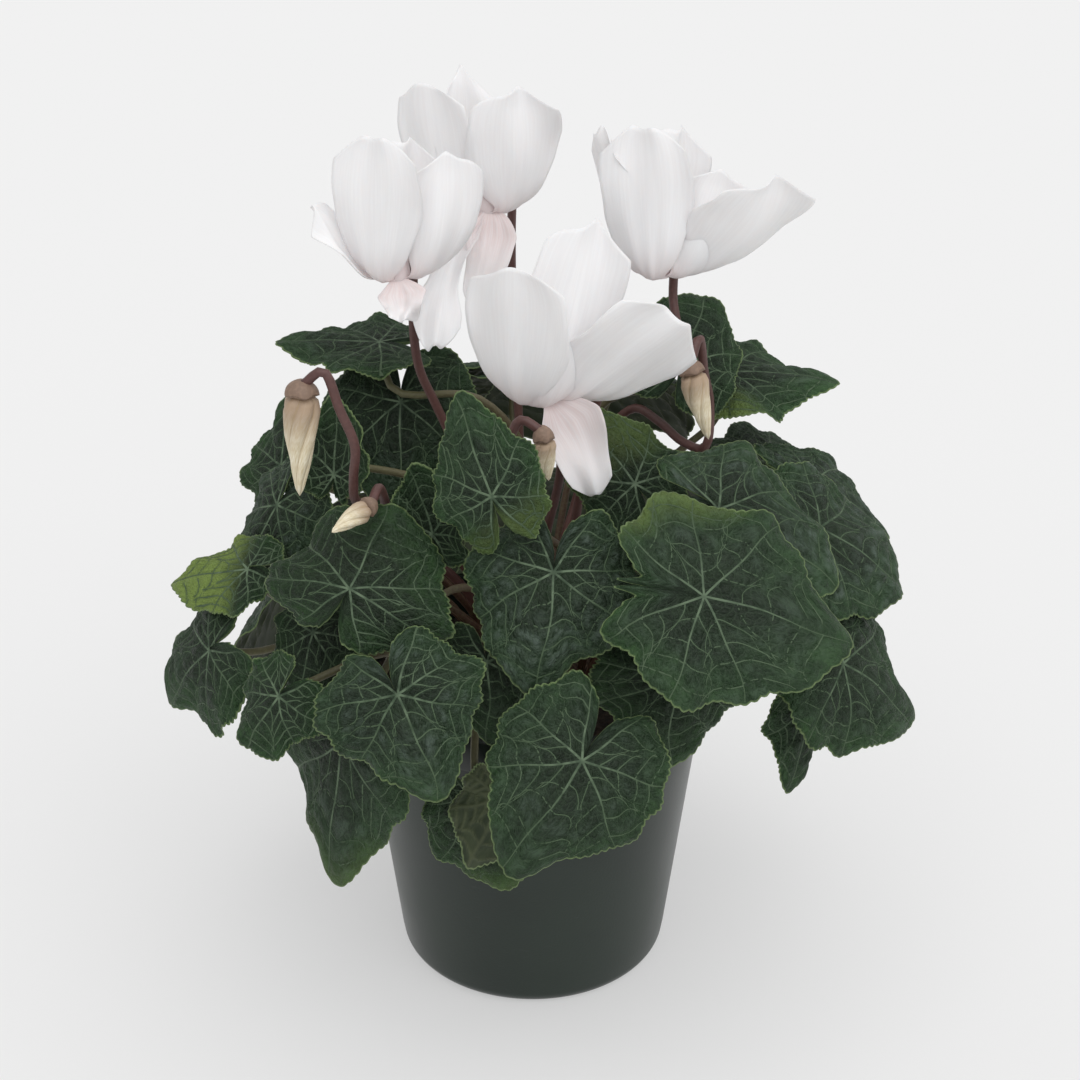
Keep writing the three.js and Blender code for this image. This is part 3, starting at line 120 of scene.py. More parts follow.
# Fine blade
BLADE_THICKNESS = 0.55
MAIN_VEINS = 7
VEIN_WIDTHS = {"main": (0.64, 0.26), "branch": (0.4, 0.2), "link": (0.22, 0.18)}
VEIN_LIFT = 0.05
VEINLESS_BEYOND = 174
BRANCH_STARTS = (0.2, 0.42, 0.62, 0.8)
SECTORS = 288
HIDDEN_SECTORS = 192
TEETH = 72
TOOTH_DEPTH = 0.9
RING_SHARES = [0.015, 0.05, 0.09, *np.linspace(0.13, 0.88, 16), 0.92, 0.95, 0.975, 1]
COARSER_WITHIN = [(0.1, 8), (0.3, 4), (0.6, 2)]
LEAF_STALK_RADIUS = 1.2
STALK_SINK = 0.6
FLOWER_STALK_RADIUS = 1.5

# Blooms and buds, the same as the solids have. A bloom is the place of its mouth and its petals.
# Each petal: azimuth at the mouth, tip from the mouth, width, twist, trough depth, belly and kind.
BLOOMS = {
    "bloom_front": ((2, -24, 208), [
        (-58, (-7, -9, 46), 34, 34, 3, 2, "broad"),
        (208, (17, 16, 42), 28, 10, 4, 3, "broad"),
        (8, (16.5, 0, 57), 29, 6, 4, 3, "broad"),
        (98, (42, -8, 30.5), 37, -74, 3, 2, "broad"),
        (58, (17, -14, -25), 21, 50, 4, 6, "hanging")]),
    "bloom_left": ((-41, 0, 238), [
        (-88, (-24, -7, 25), 17, -12, 2, 1, "strip"),
        (-35, (-4, -7, 47), 27, 26, 4, 4, "broad"),
        (212, (4, 12, 40), 29, 5, 4, 3, "broad"),
        (80, (16.5, 4, 38), 25, -56, 4, 9, "broad"),
        (18, (3, -14, -9), 15, 18, 2, 3, "hanging")]),
    "bloom_back": ((-14, 30, 249), [
        (-98, (-18, 2, 40), 31, 62, 4, 8, "broad"),
        (212, (-8, 14, 42), 30, 10, 4, 3, "pointed"),
        (60, (9, -4, 40), 30, -45, 4, 4, "broad"),
        (20, (-4, -18, -26), 16, 16, 3, 4, "hanging"),
        (-60, (-15.5, -40, -31), 16, -50, 3, 8, "spoon")]),
    "bloom_right": ((38, 8, 236), [
        (-95, (-19, -2, 47), 17, 50, 3, 0, "strip"),
        (-15, (-6, -8, 50), 28, 10, 4, 2, "broad"),
        (216, (7, 14, 43), 31, 10, 4, 3, "broad"),
        (62, (19, 0, 33), 27, -50, 4, 5, "broad"),
        (100, (34, -5, 32), 40, -62, 6, 13, "broad")]),
}
TUBE_RADIUS = 4.6
TUBE_LENGTH = 8
PETAL_TWIST_END = 0.5
PETAL_LIP = (7.5, 3.5)
PETAL_WIDTHS = {
    "broad": [(0, 0.2), (0.15, 0.28), (0.38, 0.66), (0.6, 0.94),
              (0.76, 1), (0.87, 0.93), (0.95, 0.76), (1, 0.45)],
    "pointed": [(0, 0.2), (0.15, 0.28), (0.38, 0.68), (0.6, 0.95), (0.78, 0.8), (0.92, 0.4), (1, 0.12)],
    "strip": [(0, 0.25), (0.2, 0.36), (0.45, 0.7), (0.7, 1), (0.9, 0.8), (1, 0.4)],
    "hanging": [(0, 0.25), (0.15, 0.6), (0.35, 1), (0.55, 0.85), (0.8, 0.66), (0.93, 0.52), (1, 0.3)],
    "spoon": [(0, 0.35), (0.15, 0.7), (0.3, 0.8), (0.5, 0.55),
              (0.65, 0.58), (0.8, 0.95), (0.93, 0.86), (1, 0.4)],
}
PETAL_THICKNESS = 0.45
PETAL_ROWS = 44
PETAL_COLUMNS = 26

# Each bud: neck, tip and radius
BUDS = {
    "bud_left": ((-65, -50, 225), (-67, -52, 190), 5.2),
    "bud_right": ((47, -13, 216), (53.5, -17, 192), 4.2),
    "bud_middle": ((3, -46, 209), (5, -46, 192), 3.4),
    "bud_low": ((-45, -62, 193), (-56, -77, 191), 3.2),
}
BUD_TURNS = 0.35
BUD_RIDGES = 5
BUD_RIDGE_DEPTH = 0.12
BUD_SHAPE = [(0, 0.55), (0.05, 0.85), (0.14, 0.95), (0.4, 0.8), (0.7, 0.5), (0.93, 0.22), (1, 0.02)]
CALYX_HEIGHT = 4.2
CALYX_SEAT = 3.4

# Pot, shared with the solids
POT_HEIGHT = 110
POT_FOOT_RADIUS = 44
POT_WALL_SLOPE = 0.125
POT_CORNER_RADIUS = 5
POT_WALL = 1.6
POT_FLOOR_TOP = 3.6
FOOT_RING_INSIDE = 33
FOOT_PAD_RADIUS = 13
FOOT_RECESS = 1.4
RIM_BAND_HEIGHT = 13
RIM_BAND_STEP = 1.5
DRAIN_COUNT = 6
DRAIN_RADIUS = 4
DRAIN_CIRCLE_RADIUS = 23
CRISP_ABOVE = 35
SOIL_TOP = 98
SOIL_MOUND = 1.5
SOIL_LUMPS = 0.8
SOIL_SEED = 3
FIT_GAP = 0.3
TUBER_RADIUS = 26
TUBER_HALF_HEIGHT = 12
TUBER_CENTRE = 95
BARK_SEED = 11


# Small helpers
def ring_quads(rows, sides, base=0):
    """Quads between rings of points that follow each other."""
    quads = []
    for row in range(rows):
        for i in range(sides):
            a, b = base + row * sides + i, base + row * sides + (i + 1) % sides
            quads.append((a, b, b + sides, a + sides))
    return quads


def closed_rings(rows, sides):
    """The same quads, with a flat face on each end."""
    last = rows * sides
    return ring_quads(rows, sides) + [tuple(reversed(range(sides))), tuple(range(last, last + sides))]


def grid_faces(rows, columns, flip=False):
    """Quads of a grid of (rows + 1) by (columns + 1) points."""
    faces = []
    for row in range(rows):
        for column in range(columns):
            a = row * (columns + 1) + column
            b = a + columns + 1
            faces.append((a, a + 1, b + 1, b) if flip else (a, b, b + 1, a + 1))
    return faces


def circle(sides):
    return 2 * np.pi * np.arange(sides) / sides


def ring_grid(rows, sides):
    """The share of the way up and the angle of each point of a grid of (rows + 1) rings."""
    return np.repeat(np.linspace(0, 1, rows + 1), sides), np.tile(circle(sides), rows + 1)


def ring_points(radius, z, angles):
    """Points round the axis, at the given distance from it and height."""
    return np.column_stack([radius * np.cos(angles), radius * np.sin(angles), z + 0 * angles])


def compass(azimuth):
    """The outward and the level direction at an azimuth in degrees, which is 0 at the front."""
    sine, cosine = math.sin(math.radians(azimuth)), math.cos(math.radians(azimuth))
    return np.array([sine, -cosine, 0]), np.array([cosine, sine, 0])


def interpolate(table, values):
    return np.interp(values, *zip(*table))


def smoothstep(values, low, high):
    t = np.clip((values - low) / (high - low), 0, 1)
    return t * t * (3 - 2 * t)


def unit(vector):
    return np.asarray(vector, float) / np.linalg.norm(vector)


def seeded_random(seed):
    """The same draw as the solids use, so that the back leaves are the same leaves."""
    state = seed
    while True:
        state = (state * 16807) % 2147483647
        yield state / 2147483647


def placed(name, data):
    made = bpy.data.objects.new(name, data)
    SCENE.collection.objects.link(made)
    return made


def new_object(name, vertices, faces, materials, face_materials=None):
    """A smooth mesh object from millimetre vertices."""
    mesh = bpy.data.meshes.new(name)
    mesh.from_pydata((np.asarray(vertices) * MM).tolist(), [], faces)
    for material in materials:
        mesh.materials.append(material)
    if face_materials is not None:
        mesh.polygons.foreach_set("material_index", face_materials)
    mesh.polygons.foreach_set("use_smooth", [True] * len(mesh.polygons))
    mesh.update()
    return placed(name, mesh)


def stands_for(obj, node):
    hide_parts(node)
    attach(obj, "root")


class Surface:
    """Triangles and quads of one piece, gathered from several grids."""

    def __init__(self):
        self.vertices, self.faces, self.face_materials, self.values = [], [], [], {}

    def add(self, vertices, faces, material=0, **values):
        """A value that is known for earlier points but isn't given here repeats its first one."""
        base = len(self.vertices)
        self.vertices.extend(np.asarray(vertices).tolist())
        self.faces.extend([tuple(base + i for i in face) for face in faces])
        self.face_materials.extend([material] * len(faces) if isinstance(material, int) else material)
        for name in {**self.values, **values}:
            column = self.values.setdefault(name, [])
            given = values[name] if name in values else [column[0]] * len(vertices)
            column.extend(np.asarray(given).tolist())

    def join_edges(self, ring, step):
        """Quads from a closed ring of points to the ring that lies a step further on."""
        for a, b in zip(ring, ring[1:] + ring[:1]):
            self.faces.append((a, a + step, b + step, b))
            self.face_materials.append(0)

    def build(self, name, materials):
        """The piece as an object, its values as float or vector attributes of the points."""
        made = new_object(name, self.vertices, self.faces, materials, self.face_materials)
        for key, column in self.values.items():
            values = np.asarray(column, float)
            kind, field = ("FLOAT", "value") if values.ndim == 1 else ("FLOAT_VECTOR", "vector")
            made.data.attributes.new(key, kind, "POINT").data.foreach_set(field, values.ravel())
        return made


# The frame's own meshes, in millimetres with shared corners
def node_mesh(name):
    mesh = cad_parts[name].data
    points = np.array([vertex.co for vertex in mesh.vertices]) / MM
    keys, index = np.unique(np.round(points, 2), axis=0, return_inverse=True)
    index = index.ravel()
    near = [set() for _ in keys]
    for edge in mesh.edges:
        a, b = index[edge.vertices[0]], index[edge.vertices[1]]
        near[a].add(b)
        near[b].add(a)
    return keys, near


def stalk_line(name, sides, radius, end):
    """The middle line of a node's stalk, from its foot in the tuber to the given end, ring by ring."""
    points, near = node_mesh(name)
    seed = int(np.argmin(np.linalg.norm(points - (0, 0, TUBER_CENTRE), axis=1)))
    ring = set(np.flatnonzero(np.linalg.norm(points - points[seed], axis=1) < 2.3 * radius))
    seen = set(ring)
    line = [points[list(ring)].mean(axis=0)]
    while True:
        following = set().union(*(near[i] for i in ring)) - seen
        if len(following) != sides:
            break
        corners = points[list(following)]
        centre = corners.mean(axis=0)
        spread = np.linalg.norm(corners - centre, axis=1).max()
        if spread > 1.3 * radius or np.linalg.norm(centre - end) < 2 * radius:
            break
        line.append(centre)
        seen |= following
        ring = following
    line.append(np.asarray(end, float))
    return np.array(line)


def smooth_line(points, count):
    """A Catmull-Rom curve through the points, in equal steps."""
    padded = np.vstack([2 * points[0] - points[1], points, 2 * points[-1] - points[-2]])
    pieces = []
    for a, b, c, d in zip(padded, padded[1:], padded[2:], padded[3:]):
        t = np.linspace(0, 1, 12, endpoint=False)[:, None]
        pieces.append(0.5 * (2 * b + (c - a) * t + (2 * a - 5 * b + 4 * c - d) * t ** 2
                             + (3 * b - a - 3 * c + d) * t ** 3))
    line = np.vstack(pieces + [points[-1:]])
    lengths = np.concatenate([[0], np.cumsum(np.linalg.norm(np.diff(line, axis=0), axis=1))])
    targets = np.linspace(0, lengths[-1], count)
    return np.column_stack([np.interp(targets, lengths, line[:, k]) for k in range(3)])


def tube(line, radii, sides):
    """Vertices and faces of a closed round tube along a line."""
    tangents = np.gradient(line, axis=0)
    tangents /= np.linalg.norm(tangents, axis=1)[:, None]
    across = unit(np.cross(tangents[0], (1, 0.3, 0.1)))
    cosines, sines = np.cos(circle(sides))[:, None], np.sin(circle(sides))[:, None]
    vertices = []
    for point, tangent, radius in zip(line, tangents, radii):
        across = unit(across - tangent * np.dot(across, tangent))
        other = np.cross(tangent, across)
        vertices.append(point + radius * (cosines * across + sines * other))
    return np.vstack(vertices), closed_rings(len(line) - 1, sides)


# Shader graphs
class Graph:
    """A material's node graph, written as short expressions. Values are sockets or numbers."""

    def __init__(self, name):
        self.material = bpy.data.materials.new(name)
        self.material.use_nodes = True
        self.tree = self.material.node_tree
        self.shader = self.tree.nodes["Principled BSDF"]

    def node(self, kind, inputs=(), **settings):
        made = self.tree.nodes.new(kind)
        for key, value in settings.items():
            setattr(made, key, value)
        for key, value in dict(inputs).items():
            self.feed(made.inputs[key], value)
        return made

    def feed(self, socket, value):
        if isinstance(value, bpy.types.NodeSocket):
            self.tree.links.new(value, socket)
        else:
            socket.default_value = value

    def math(self, operation, *values):
        return self.node("ShaderNodeMath", enumerate(values), operation=operation).outputs[0]

    def times(self, a, b):
        return self.math("MULTIPLY", a, b)

    def plus(self, a, b):
        return self.math("ADD", a, b)

    def attribute(self, name, output="Fac"):
        return self.node("ShaderNodeAttribute", attribute_name=name).outputs[output]

    def where(self):
        return self.node("ShaderNodeTexCoord").outputs["Object"]

    def stretched(self, vector, scale):
        return self.node("ShaderNodeMapping", {"Vector": vector, "Scale": scale}).outputs[0]

    def split(self, vector):
        return self.node("ShaderNodeSeparateXYZ", {"Vector": vector}).outputs

    def cells(self, vector, scale):
        """Distance to the nearest edge between irregular cells."""
        inputs = {"Vector": vector, "Scale": scale}
        return self.node("ShaderNodeTexVoronoi", inputs, feature="DISTANCE_TO_EDGE").outputs["Distance"]

    def ramp(self, value, low, high, to_low=0.0, to_high=1.0):
        """A smooth step from low to high."""
        inputs = {"Value": value, "From Min": low, "From Max": high, "To Min": to_low, "To Max": to_high}
        return self.node("ShaderNodeMapRange", inputs, interpolation_type="SMOOTHSTEP").outputs["Result"]

    def noise(self, vector, scale, detail=2.0, roughness=0.5):
        inputs = {"Vector": vector, "Scale": scale, "Detail": detail, "Roughness": roughness}
        return self.node("ShaderNodeTexNoise", inputs).outputs["Fac"]

    def mix(self, factor, a, b):
        """Two colours mixed. The mix node's sockets for colours are 6, 7 and 2."""
        a, b = ((*colour, 1) if isinstance(colour, tuple) else colour for colour in (a, b))
        return self.node("ShaderNodeMix", {0: factor, 6: a, 7: b}, data_type="RGBA").outputs[2]

    def tone(self, value, low, high, a, b):
        return self.mix(self.ramp(value, low, high), a, b)

    def bump(self, height, distance, strength=1.0):
        inputs = {"Height": height, "Distance": distance, "Strength": strength}
        return self.node("ShaderNodeBump", inputs).outputs["Normal"]

    def finish(self, colour, roughness, **inputs):
        for key, value in dict(inputs, Base_Color=colour, Roughness=roughness).items():
            self.feed(self.shader.inputs[key.replace("_", " ")], value)
        return self.material


def leaf_material(name, tint):
    """Upper side of a blade: dark green, fresher outside, with a marbled grey zone and a pale margin."""
    g = Graph(name)
    place = g.attribute("blade", "Vector")
    vein = g.attribute("vein")
    x, y, _ = g.split(place)
    radius = g.math("SQRT", g.plus(g.times(x, x), g.times(y, y)))
    cloud = g.noise(place, 2.6, 3)
    mottle = g.noise(place, 9, 3, 0.6)
    outward = g.plus(radius, g.times(g.plus(cloud, -0.5), 0.6))
    dark = g.tone(cloud, 0.35, 0.65, (0.006, 0.011, 0.006), (0.011, 0.021, 0.010))
    fresh = g.tone(mottle, 0.35, 0.7, (0.012, 0.038, 0.010), (0.030, 0.082, 0.020))
    colour = g.mix(g.ramp(outward, 0.3, 1.05, 0.1, 0.6 + 0.4 * tint["light"]), dark, fresh)
    silver = g.tone(mottle, 0.3, 0.7, (0.036, 0.056, 0.044), (0.085, 0.115, 0.095))
    ring = g.times(g.ramp(outward, 0.2, 0.55), g.ramp(outward, 1.1, 0.8))
    between = g.ramp(vein, 0.2, 2.6, 0.25, 1)
    patches = g.times(g.times(ring, between), g.ramp(mottle, 0.4, 0.62, 0.15, 1))
    colour = g.mix(g.times(patches, tint["silver"]), colour, silver)
    if "lime" in tint:
        share, side, start = tint["lime"]
        turn = math.radians(side)
        reach = g.plus(g.times(x, math.sin(turn)), g.times(y, math.cos(turn)))
        limed = g.ramp(g.plus(reach, g.times(cloud, 0.2)), start, start + 0.5, 0, share)
        colour = g.mix(limed, colour, (0.17, 0.24, 0.055))
    colour = g.mix(g.ramp(vein, 0.9, 0.3, 0, 0.3), colour, (0.03, 0.055, 0.03))
    net, fine = g.cells(place, 13.0), g.cells(place, 34.0)
    lines = g.math("MAXIMUM", g.ramp(net, 0.01, 0.08, 0.22, 0), g.ramp(fine, 0.01, 0.1, 0.1, 0))
    colour = g.mix(lines, colour, (0.05, 0.085, 0.045))
    rim = g.ramp(g.attribute("edge"), 0.15, 0.8, 0.85, 0)
    colour = g.mix(rim, colour, (0.17, 0.24, 0.10))
    height = g.plus(g.ramp(net, 0, 0.35), g.times(g.ramp(fine, 0, 0.3), 0.4))
    return g.finish(colour, g.ramp(mottle, 0.3, 0.7, 0.5, 0.62),
                    Normal=g.bump(height, 0.0005, 0.8), Specular_IOR_Level=0.25)


def vein_material():
    g = Graph("leaf_vein")
    patch = g.noise(g.attribute("blade", "Vector"), 8, 2)
    pale = g.tone(patch, 0.3, 0.7, (0.03, 0.055, 0.028), (0.115, 0.165, 0.10))
    colour = g.tone(g.attribute("share"), 0, 1, pale, (0.055, 0.09, 0.045))
    return g.finish(colour, 0.55, Specular_IOR_Level=0.3, Normal=g.bump(patch, 0.0001, 0.3))


def underside_material():
    g = Graph("leaf_underside")
    cloud = g.noise(g.attribute("blade", "Vector"), 4, 3)
    base = g.tone(cloud, 0.3, 0.7, (0.022, 0.034, 0.014), (0.044, 0.06, 0.026))
    raised = g.ramp(g.attribute("vein"), 0.1, 0.9, 1, 0)
    colour = g.mix(g.times(raised, 0.4), base, (0.10, 0.115, 0.055))
    colour = g.mix(g.ramp(g.attribute("edge"), 0.2, 0.9, 0.7, 0), colour, (0.2, 0.27, 0.12))
    return g.finish(colour, 0.6, Specular_IOR_Level=0.3, Normal=g.bump(raised, 0.0004, 0.6))


def stalk_material(name, low, high, roughness):
    """Stalk colour from its foot to its upper end, with fine streaks along it."""
    g = Graph(name)
    streaks = g.noise(g.where(), 900, 2)
    colour = g.tone(g.attribute("share"), 0.15, 0.9, low, high)
    colour = g.mix(g.ramp(streaks, 0.4, 0.7, 0, 0.35), colour, tuple(1.6 * c for c in high))
    return g.finish(colour, roughness, Normal=g.bump(streaks, 0.0001, 0.4))


def petal_material():
    """Thin white petals. A faint glow stands for the light that comes through them."""
    g = Graph("petal_white")
    place = g.attribute("petal", "Vector")
    streaks = g.noise(g.stretched(place, (1.5, 9, 1)), 2.5, 3)
    # Towards the base the petals take a pink tint together with painted shade: a darker pink-grey that
    # stands for the shade near the mouth.
    base_tint_and_shade = g.times(g.ramp(g.split(place)[0], 0, 0.55, 1, 0), g.ramp(streaks, 0.3, 0.7, 0.6, 1))
    white = g.tone(streaks, 0.35, 0.7, (0.845, 0.83, 0.835), (0.87, 0.86, 0.865))
    colour = g.mix(g.times(base_tint_and_shade, 0.7), white, (0.6, 0.43, 0.42))
    return g.finish(colour, 0.62, Normal=g.bump(streaks, 0.0002, 0.2),
                    Subsurface_Weight=0.25, Subsurface_Radius=(0.004, 0.003, 0.0026), Subsurface_Scale=0.4,
                    Sheen_Weight=0.1, Emission_Color=colour, Emission_Strength=0.03)


def throat_material():
    g = Graph("petal_throat")
    colour = g.tone(g.noise(g.where(), 300, 2), 0.3, 0.7, (0.45, 0.28, 0.27), (0.62, 0.45, 0.42))
    return g.finish(colour, 0.6)


def bud_material():
    g = Graph("bud_cream")
    place = g.attribute("petal", "Vector")
    along, aside, _ = g.split(place)
    streaks = g.noise(place, 9, 3)
    cream = g.tone(streaks, 0.35, 0.7, (0.66, 0.56, 0.36), (0.86, 0.8, 0.64))
    colour = g.mix(g.ramp(along, 0.05, 0.6, 0.9, 0), cream, (0.36, 0.25, 0.17))
    seam = g.ramp(g.math("ABSOLUTE", aside), 0.75, 1, 0, 0.5)
    colour = g.mix(seam, colour, (0.42, 0.3, 0.16))
    return g.finish(colour, 0.55, Normal=g.bump(streaks, 0.0002, 0.4))


def pot_material():
    g = Graph("pot_plastic")
    where = g.where()
    cloud = g.noise(where, 25, 3)
    colour = g.tone(cloud, 0.3, 0.7, (0.010, 0.018, 0.013), (0.014, 0.024, 0.017))
    scuffs = g.noise(g.stretched(where, (1, 1, 6)), 120, 4, 0.7)
    colour = g.mix(g.ramp(scuffs, 0.62, 0.8, 0, 0.2), colour, (0.06, 0.07, 0.065))
    return g.finish(colour, g.ramp(cloud, 0.3, 0.7, 0.3, 0.38),
                    Normal=g.bump(g.noise(where, 1400, 2), 0.00008, 0.5), Specular_IOR_Level=0.4)


def soil_material():
    g = Graph("potting_soil")
    where = g.where()
    crumbs = g.noise(where, 260, 5, 0.7)
    colour = g.tone(crumbs, 0.35, 0.7, (0.010, 0.007, 0.005), (0.05, 0.033, 0.022))
    fibres = g.noise(g.stretched(where, (1, 5, 1)), 180, 3)
    colour = g.mix(g.ramp(fibres, 0.66, 0.74, 0, 0.6), colour, (0.12, 0.075, 0.04))
    return g.finish(colour, 0.92, Normal=g.bump(crumbs, 0.0016))


def tuber_material():
    g = Graph("tuber_cork")
    where = g.where()
    cracks = g.cells(where, 170.0)
    colour = g.tone(g.noise(where, 120, 4), 0.3, 0.7, (0.05, 0.03, 0.02), (0.12, 0.075, 0.045))
    colour = g.mix(g.ramp(cracks, 0, 0.12, 0.8, 0), colour, (0.02, 0.012, 0.008))
    return g.finish(colour, 0.85, Normal=g.bump(cracks, 0.001))


def floor_material():
    """A pale floor that glows a little, as a lit studio sweep does, so that shadows on it stay light."""
    g = Graph("floor_pale")
    return g.finish((0.45, 0.45, 0.45, 1), 0.8, Specular_IOR_Level=0.0,
                    Emission_Color=(1, 1, 1, 1), Emission_Strength=0.4)


# Blades
def leaf_frame(leaf):
    """The blade's upper side, its tip and its side, as directions."""
    out, level = compass(leaf["face"][0])
    elevation, spin = math.radians(leaf["face"][1]), math.radians(leaf["spin"])
    face = out * math.cos(elevation) + (0, 0, math.sin(elevation))
    tip = np.cross(level, face) * math.cos(spin) + level * math.sin(spin)
    return face, tip, np.cross(tip, face)


def outline_radius(leaf, theta):
    degrees, phase = np.degrees(theta), leaf["wave"][2]
    lobes = 1 + MARGIN_LOBE * np.cos(leaf["points"] / 2 * theta)
    slow = np.sin(5 * theta + 2 * phase) + 0.6 * np.cos(7 * theta - phase)
    short = 1 + smoothstep(np.abs(degrees), 60, 150) * (leaf.get("lobes", 1) - 1)
    radius = leaf["length"] * interpolate(OUTLINE, np.abs(degrees)) * lobes * short
    corners = sum(share * np.exp(-((degrees - angle) / spread) ** 2)
                  for angle, share, spread in leaf.get("corners", []))
    return radius * (1 + MARGIN_UNEVENNESS * slow) * (1 + corners)


def arc(distance, height, curvature):
    """A distance along an arc and a height off it, as two coordinates."""
    radius = 1 / curvature
    angle = np.abs(distance) * curvature
    return np.sign(distance) * (radius + height) * np.sin(angle), (radius + height) * np.cos(angle) - radius


def bent_blade(leaf, u, v, height):
    """Flat blade coordinates and a height off the blade, bent into place around the stalk's end."""
    length = leaf["length"]
    roll = np.radians(np.where(u < 0, *leaf["roll"])) / (0.67 * length)
    bow = np.radians(np.where(v >= 0, *leaf["bow"])) / (np.where(v < 0, 0.6, 1) * length)
    x, h = arc(u, height, roll)
    y, z = arc(v, h, bow)
    face, tip, side = leaf_frame(leaf)
    return x[..., None] * side + y[..., None] * tip + z[..., None] * face


def flat_place(leaf, theta, rho, radius=None):
    """Places in the flat blade, with the solids' outline or another one."""
    reach = rho * (outline_radius(leaf, theta) if radius is None else radius)
    return np.column_stack([leaf["wide"] * reach * np.sin(theta), reach * np.cos(theta)])


def wave_height(leaf, theta, rho):
    height, count, phase = leaf["wave"]
    return height * rho ** 2 * np.sin(count * theta + phase)


def blade_point(leaf, theta, rho, offset, radius=None):
    """The same places in the bent blade, with a height off it."""
    u, v = flat_place(leaf, theta, rho, radius).T
    return bent_blade(leaf, u, v, wave_height(leaf, theta, rho) + offset)


def blade_place(name, leaf):
    """Where the solid's blade stands: the shift that lays this leaf's margin on the node's corners."""
    points, _ = node_mesh(name)
    theta = np.pi - circle(leaf["points"])
    margin = blade_point(leaf, theta, np.ones_like(theta), SOLID_BLADE_THICKNESS / 2)

    def matches(shift):
        gaps = np.linalg.norm((margin + shift)[:, None] - points, axis=2).min(axis=1)
        return int((gaps < 0.05).sum())

    best = max(points - margin[len(margin) // 2], key=matches)
    if matches(best) < 0.8 * len(theta):
        raise RuntimeError(f"{name}: the margin doesn't match the solid")
    return best


def vein_network(seed):
    """Veins of a blade as polar lines: (kind, angles, shares of the radius)."""
    random = np.random.default_rng(seed)
    spacing = 2 * np.pi / MAIN_VEINS
    lines = []
    for k in range(MAIN_VEINS):
        middle = (k - MAIN_VEINS // 2) * spacing + random.uniform(-0.06, 0.06)
        sway, phase = random.uniform(-0.12, 0.12), random.uniform(0, 6)

        def bend(share):
            return middle + sway * share ** 1.5 + 0.025 * np.sin(8 * share + phase)

        rho = np.linspace(0, 0.965, 18)
        lines.append(("main", bend(rho), rho))
        for side in (-1, 1):
            ends = []
            for rank, start in enumerate(BRANCH_STARTS):
                start = start + random.uniform(-0.035, 0.035)
                reach = random.uniform(0.2, 0.3) * (1 - 0.08 * rank)
                t = np.linspace(0, 1, 8)
                share = start + reach * (0.45 * t + 0.55 * t * t)
                swing = side * spacing * random.uniform(0.46, 0.54) * np.sin(np.pi / 2 * t) ** 0.9
                angle = bend(share) + swing
                keep = share < 0.975
                if keep.sum() > 2:
                    lines.append(("branch", angle[keep], share[keep]))
                ends.append((angle, share))
            for (a_angle, a_share), (b_angle, b_share) in zip(ends, ends[1:]):
                share = np.linspace(a_share[6], b_share[5], 4)
                if share[-1] < 0.96:
                    wobble = random.uniform(-0.02, 0.02) * np.sin(np.pi * np.linspace(0, 1, 4))
                    lines.append(("link", np.linspace(a_angle[6], b_angle[5], 4) + wobble, share))
    return [line for line in lines if np.abs(line[1]).max() < math.radians(VEINLESS_BEYOND)]


def vein_distance(leaf, lines, flat):
    """Distance in the flat blade from each point to the nearest main vein or branch."""
    places = []
    for kind, angles, shares in lines:
        if kind == "link":
            continue
        line = flat_place(leaf, angles, shares)
        for a, b in zip(line, line[1:]):
            steps = max(2, int(np.linalg.norm(b - a) / 0.6))
            places.extend(a + (b - a) * t for t in np.linspace(0, 1, steps, endpoint=False))
    tree = KDTree(len(places))
    for i, place in enumerate(places):
        tree.insert((*place, 0), i)
    tree.balance()
    return np.array([tree.find((x, y, 0))[2] for x, y in flat])


def relief(leaf, theta, rho, vein):
    """Height of the fine relief: sunk veins with pillows between them, and a ruffled margin."""
    phase = 3 * leaf["wave"][2]
    pillow = smoothstep(vein, 0, 2.4) * smoothstep(rho, 0.03, 0.2) * smoothstep(rho, 1.04, 0.86)
    ruffle = 0.75 * rho ** 5 * (np.sin(9 * theta + phase) + 0.6 * np.sin(17 * theta + 2 * phase))
    return 0.9 * pillow - 0.45 + ruffle


def toothed_radius(leaf, theta):
    """The solid's outline with small teeth cut into it."""
    sweep = (theta * TEETH / (2 * np.pi)) % 1
    tooth = np.minimum(sweep / 0.62, (1 - sweep) / 0.38)
    uneven = 0.75 + 0.25 * np.sin(9 * theta + 4 * leaf["wave"][2])
    return outline_radius(leaf, theta) - TOOTH_DEPTH * uneven * (1 - tooth)


def blade_grid(sectors):
    """Ring by ring polar grid: (theta, rho) of each point, and its triangles, finer towards the margin."""
    theta, rho, rings = [0.0], [0.0], []
    for share in RING_SHARES:
        count = sectors // next((coarser for reach, coarser in COARSER_WITHIN if share < reach), 1)
        rings.append((len(theta), count))
        theta.extend(np.pi - circle(count))
        rho.extend([share] * count)
    first, count = rings[0]
    faces = [(0, first + k, first + (k + 1) % count) for k in range(count)]
    for (a, n), (b, m) in zip(rings, rings[1:]):
        for k in range(n):
            p, q = a + k, a + (k + 1) % n
            if m == n:
                faces.append((p, b + k, b + (k + 1) % m, q))
            else:
                r, s, t = b + 2 * k, b + (2 * k + 1) % m, b + (2 * k + 2) % m
                faces += [(p, r, s), (p, s, q), (q, s, t)]
    return np.array(theta), np.array(rho), faces, rings[-1]


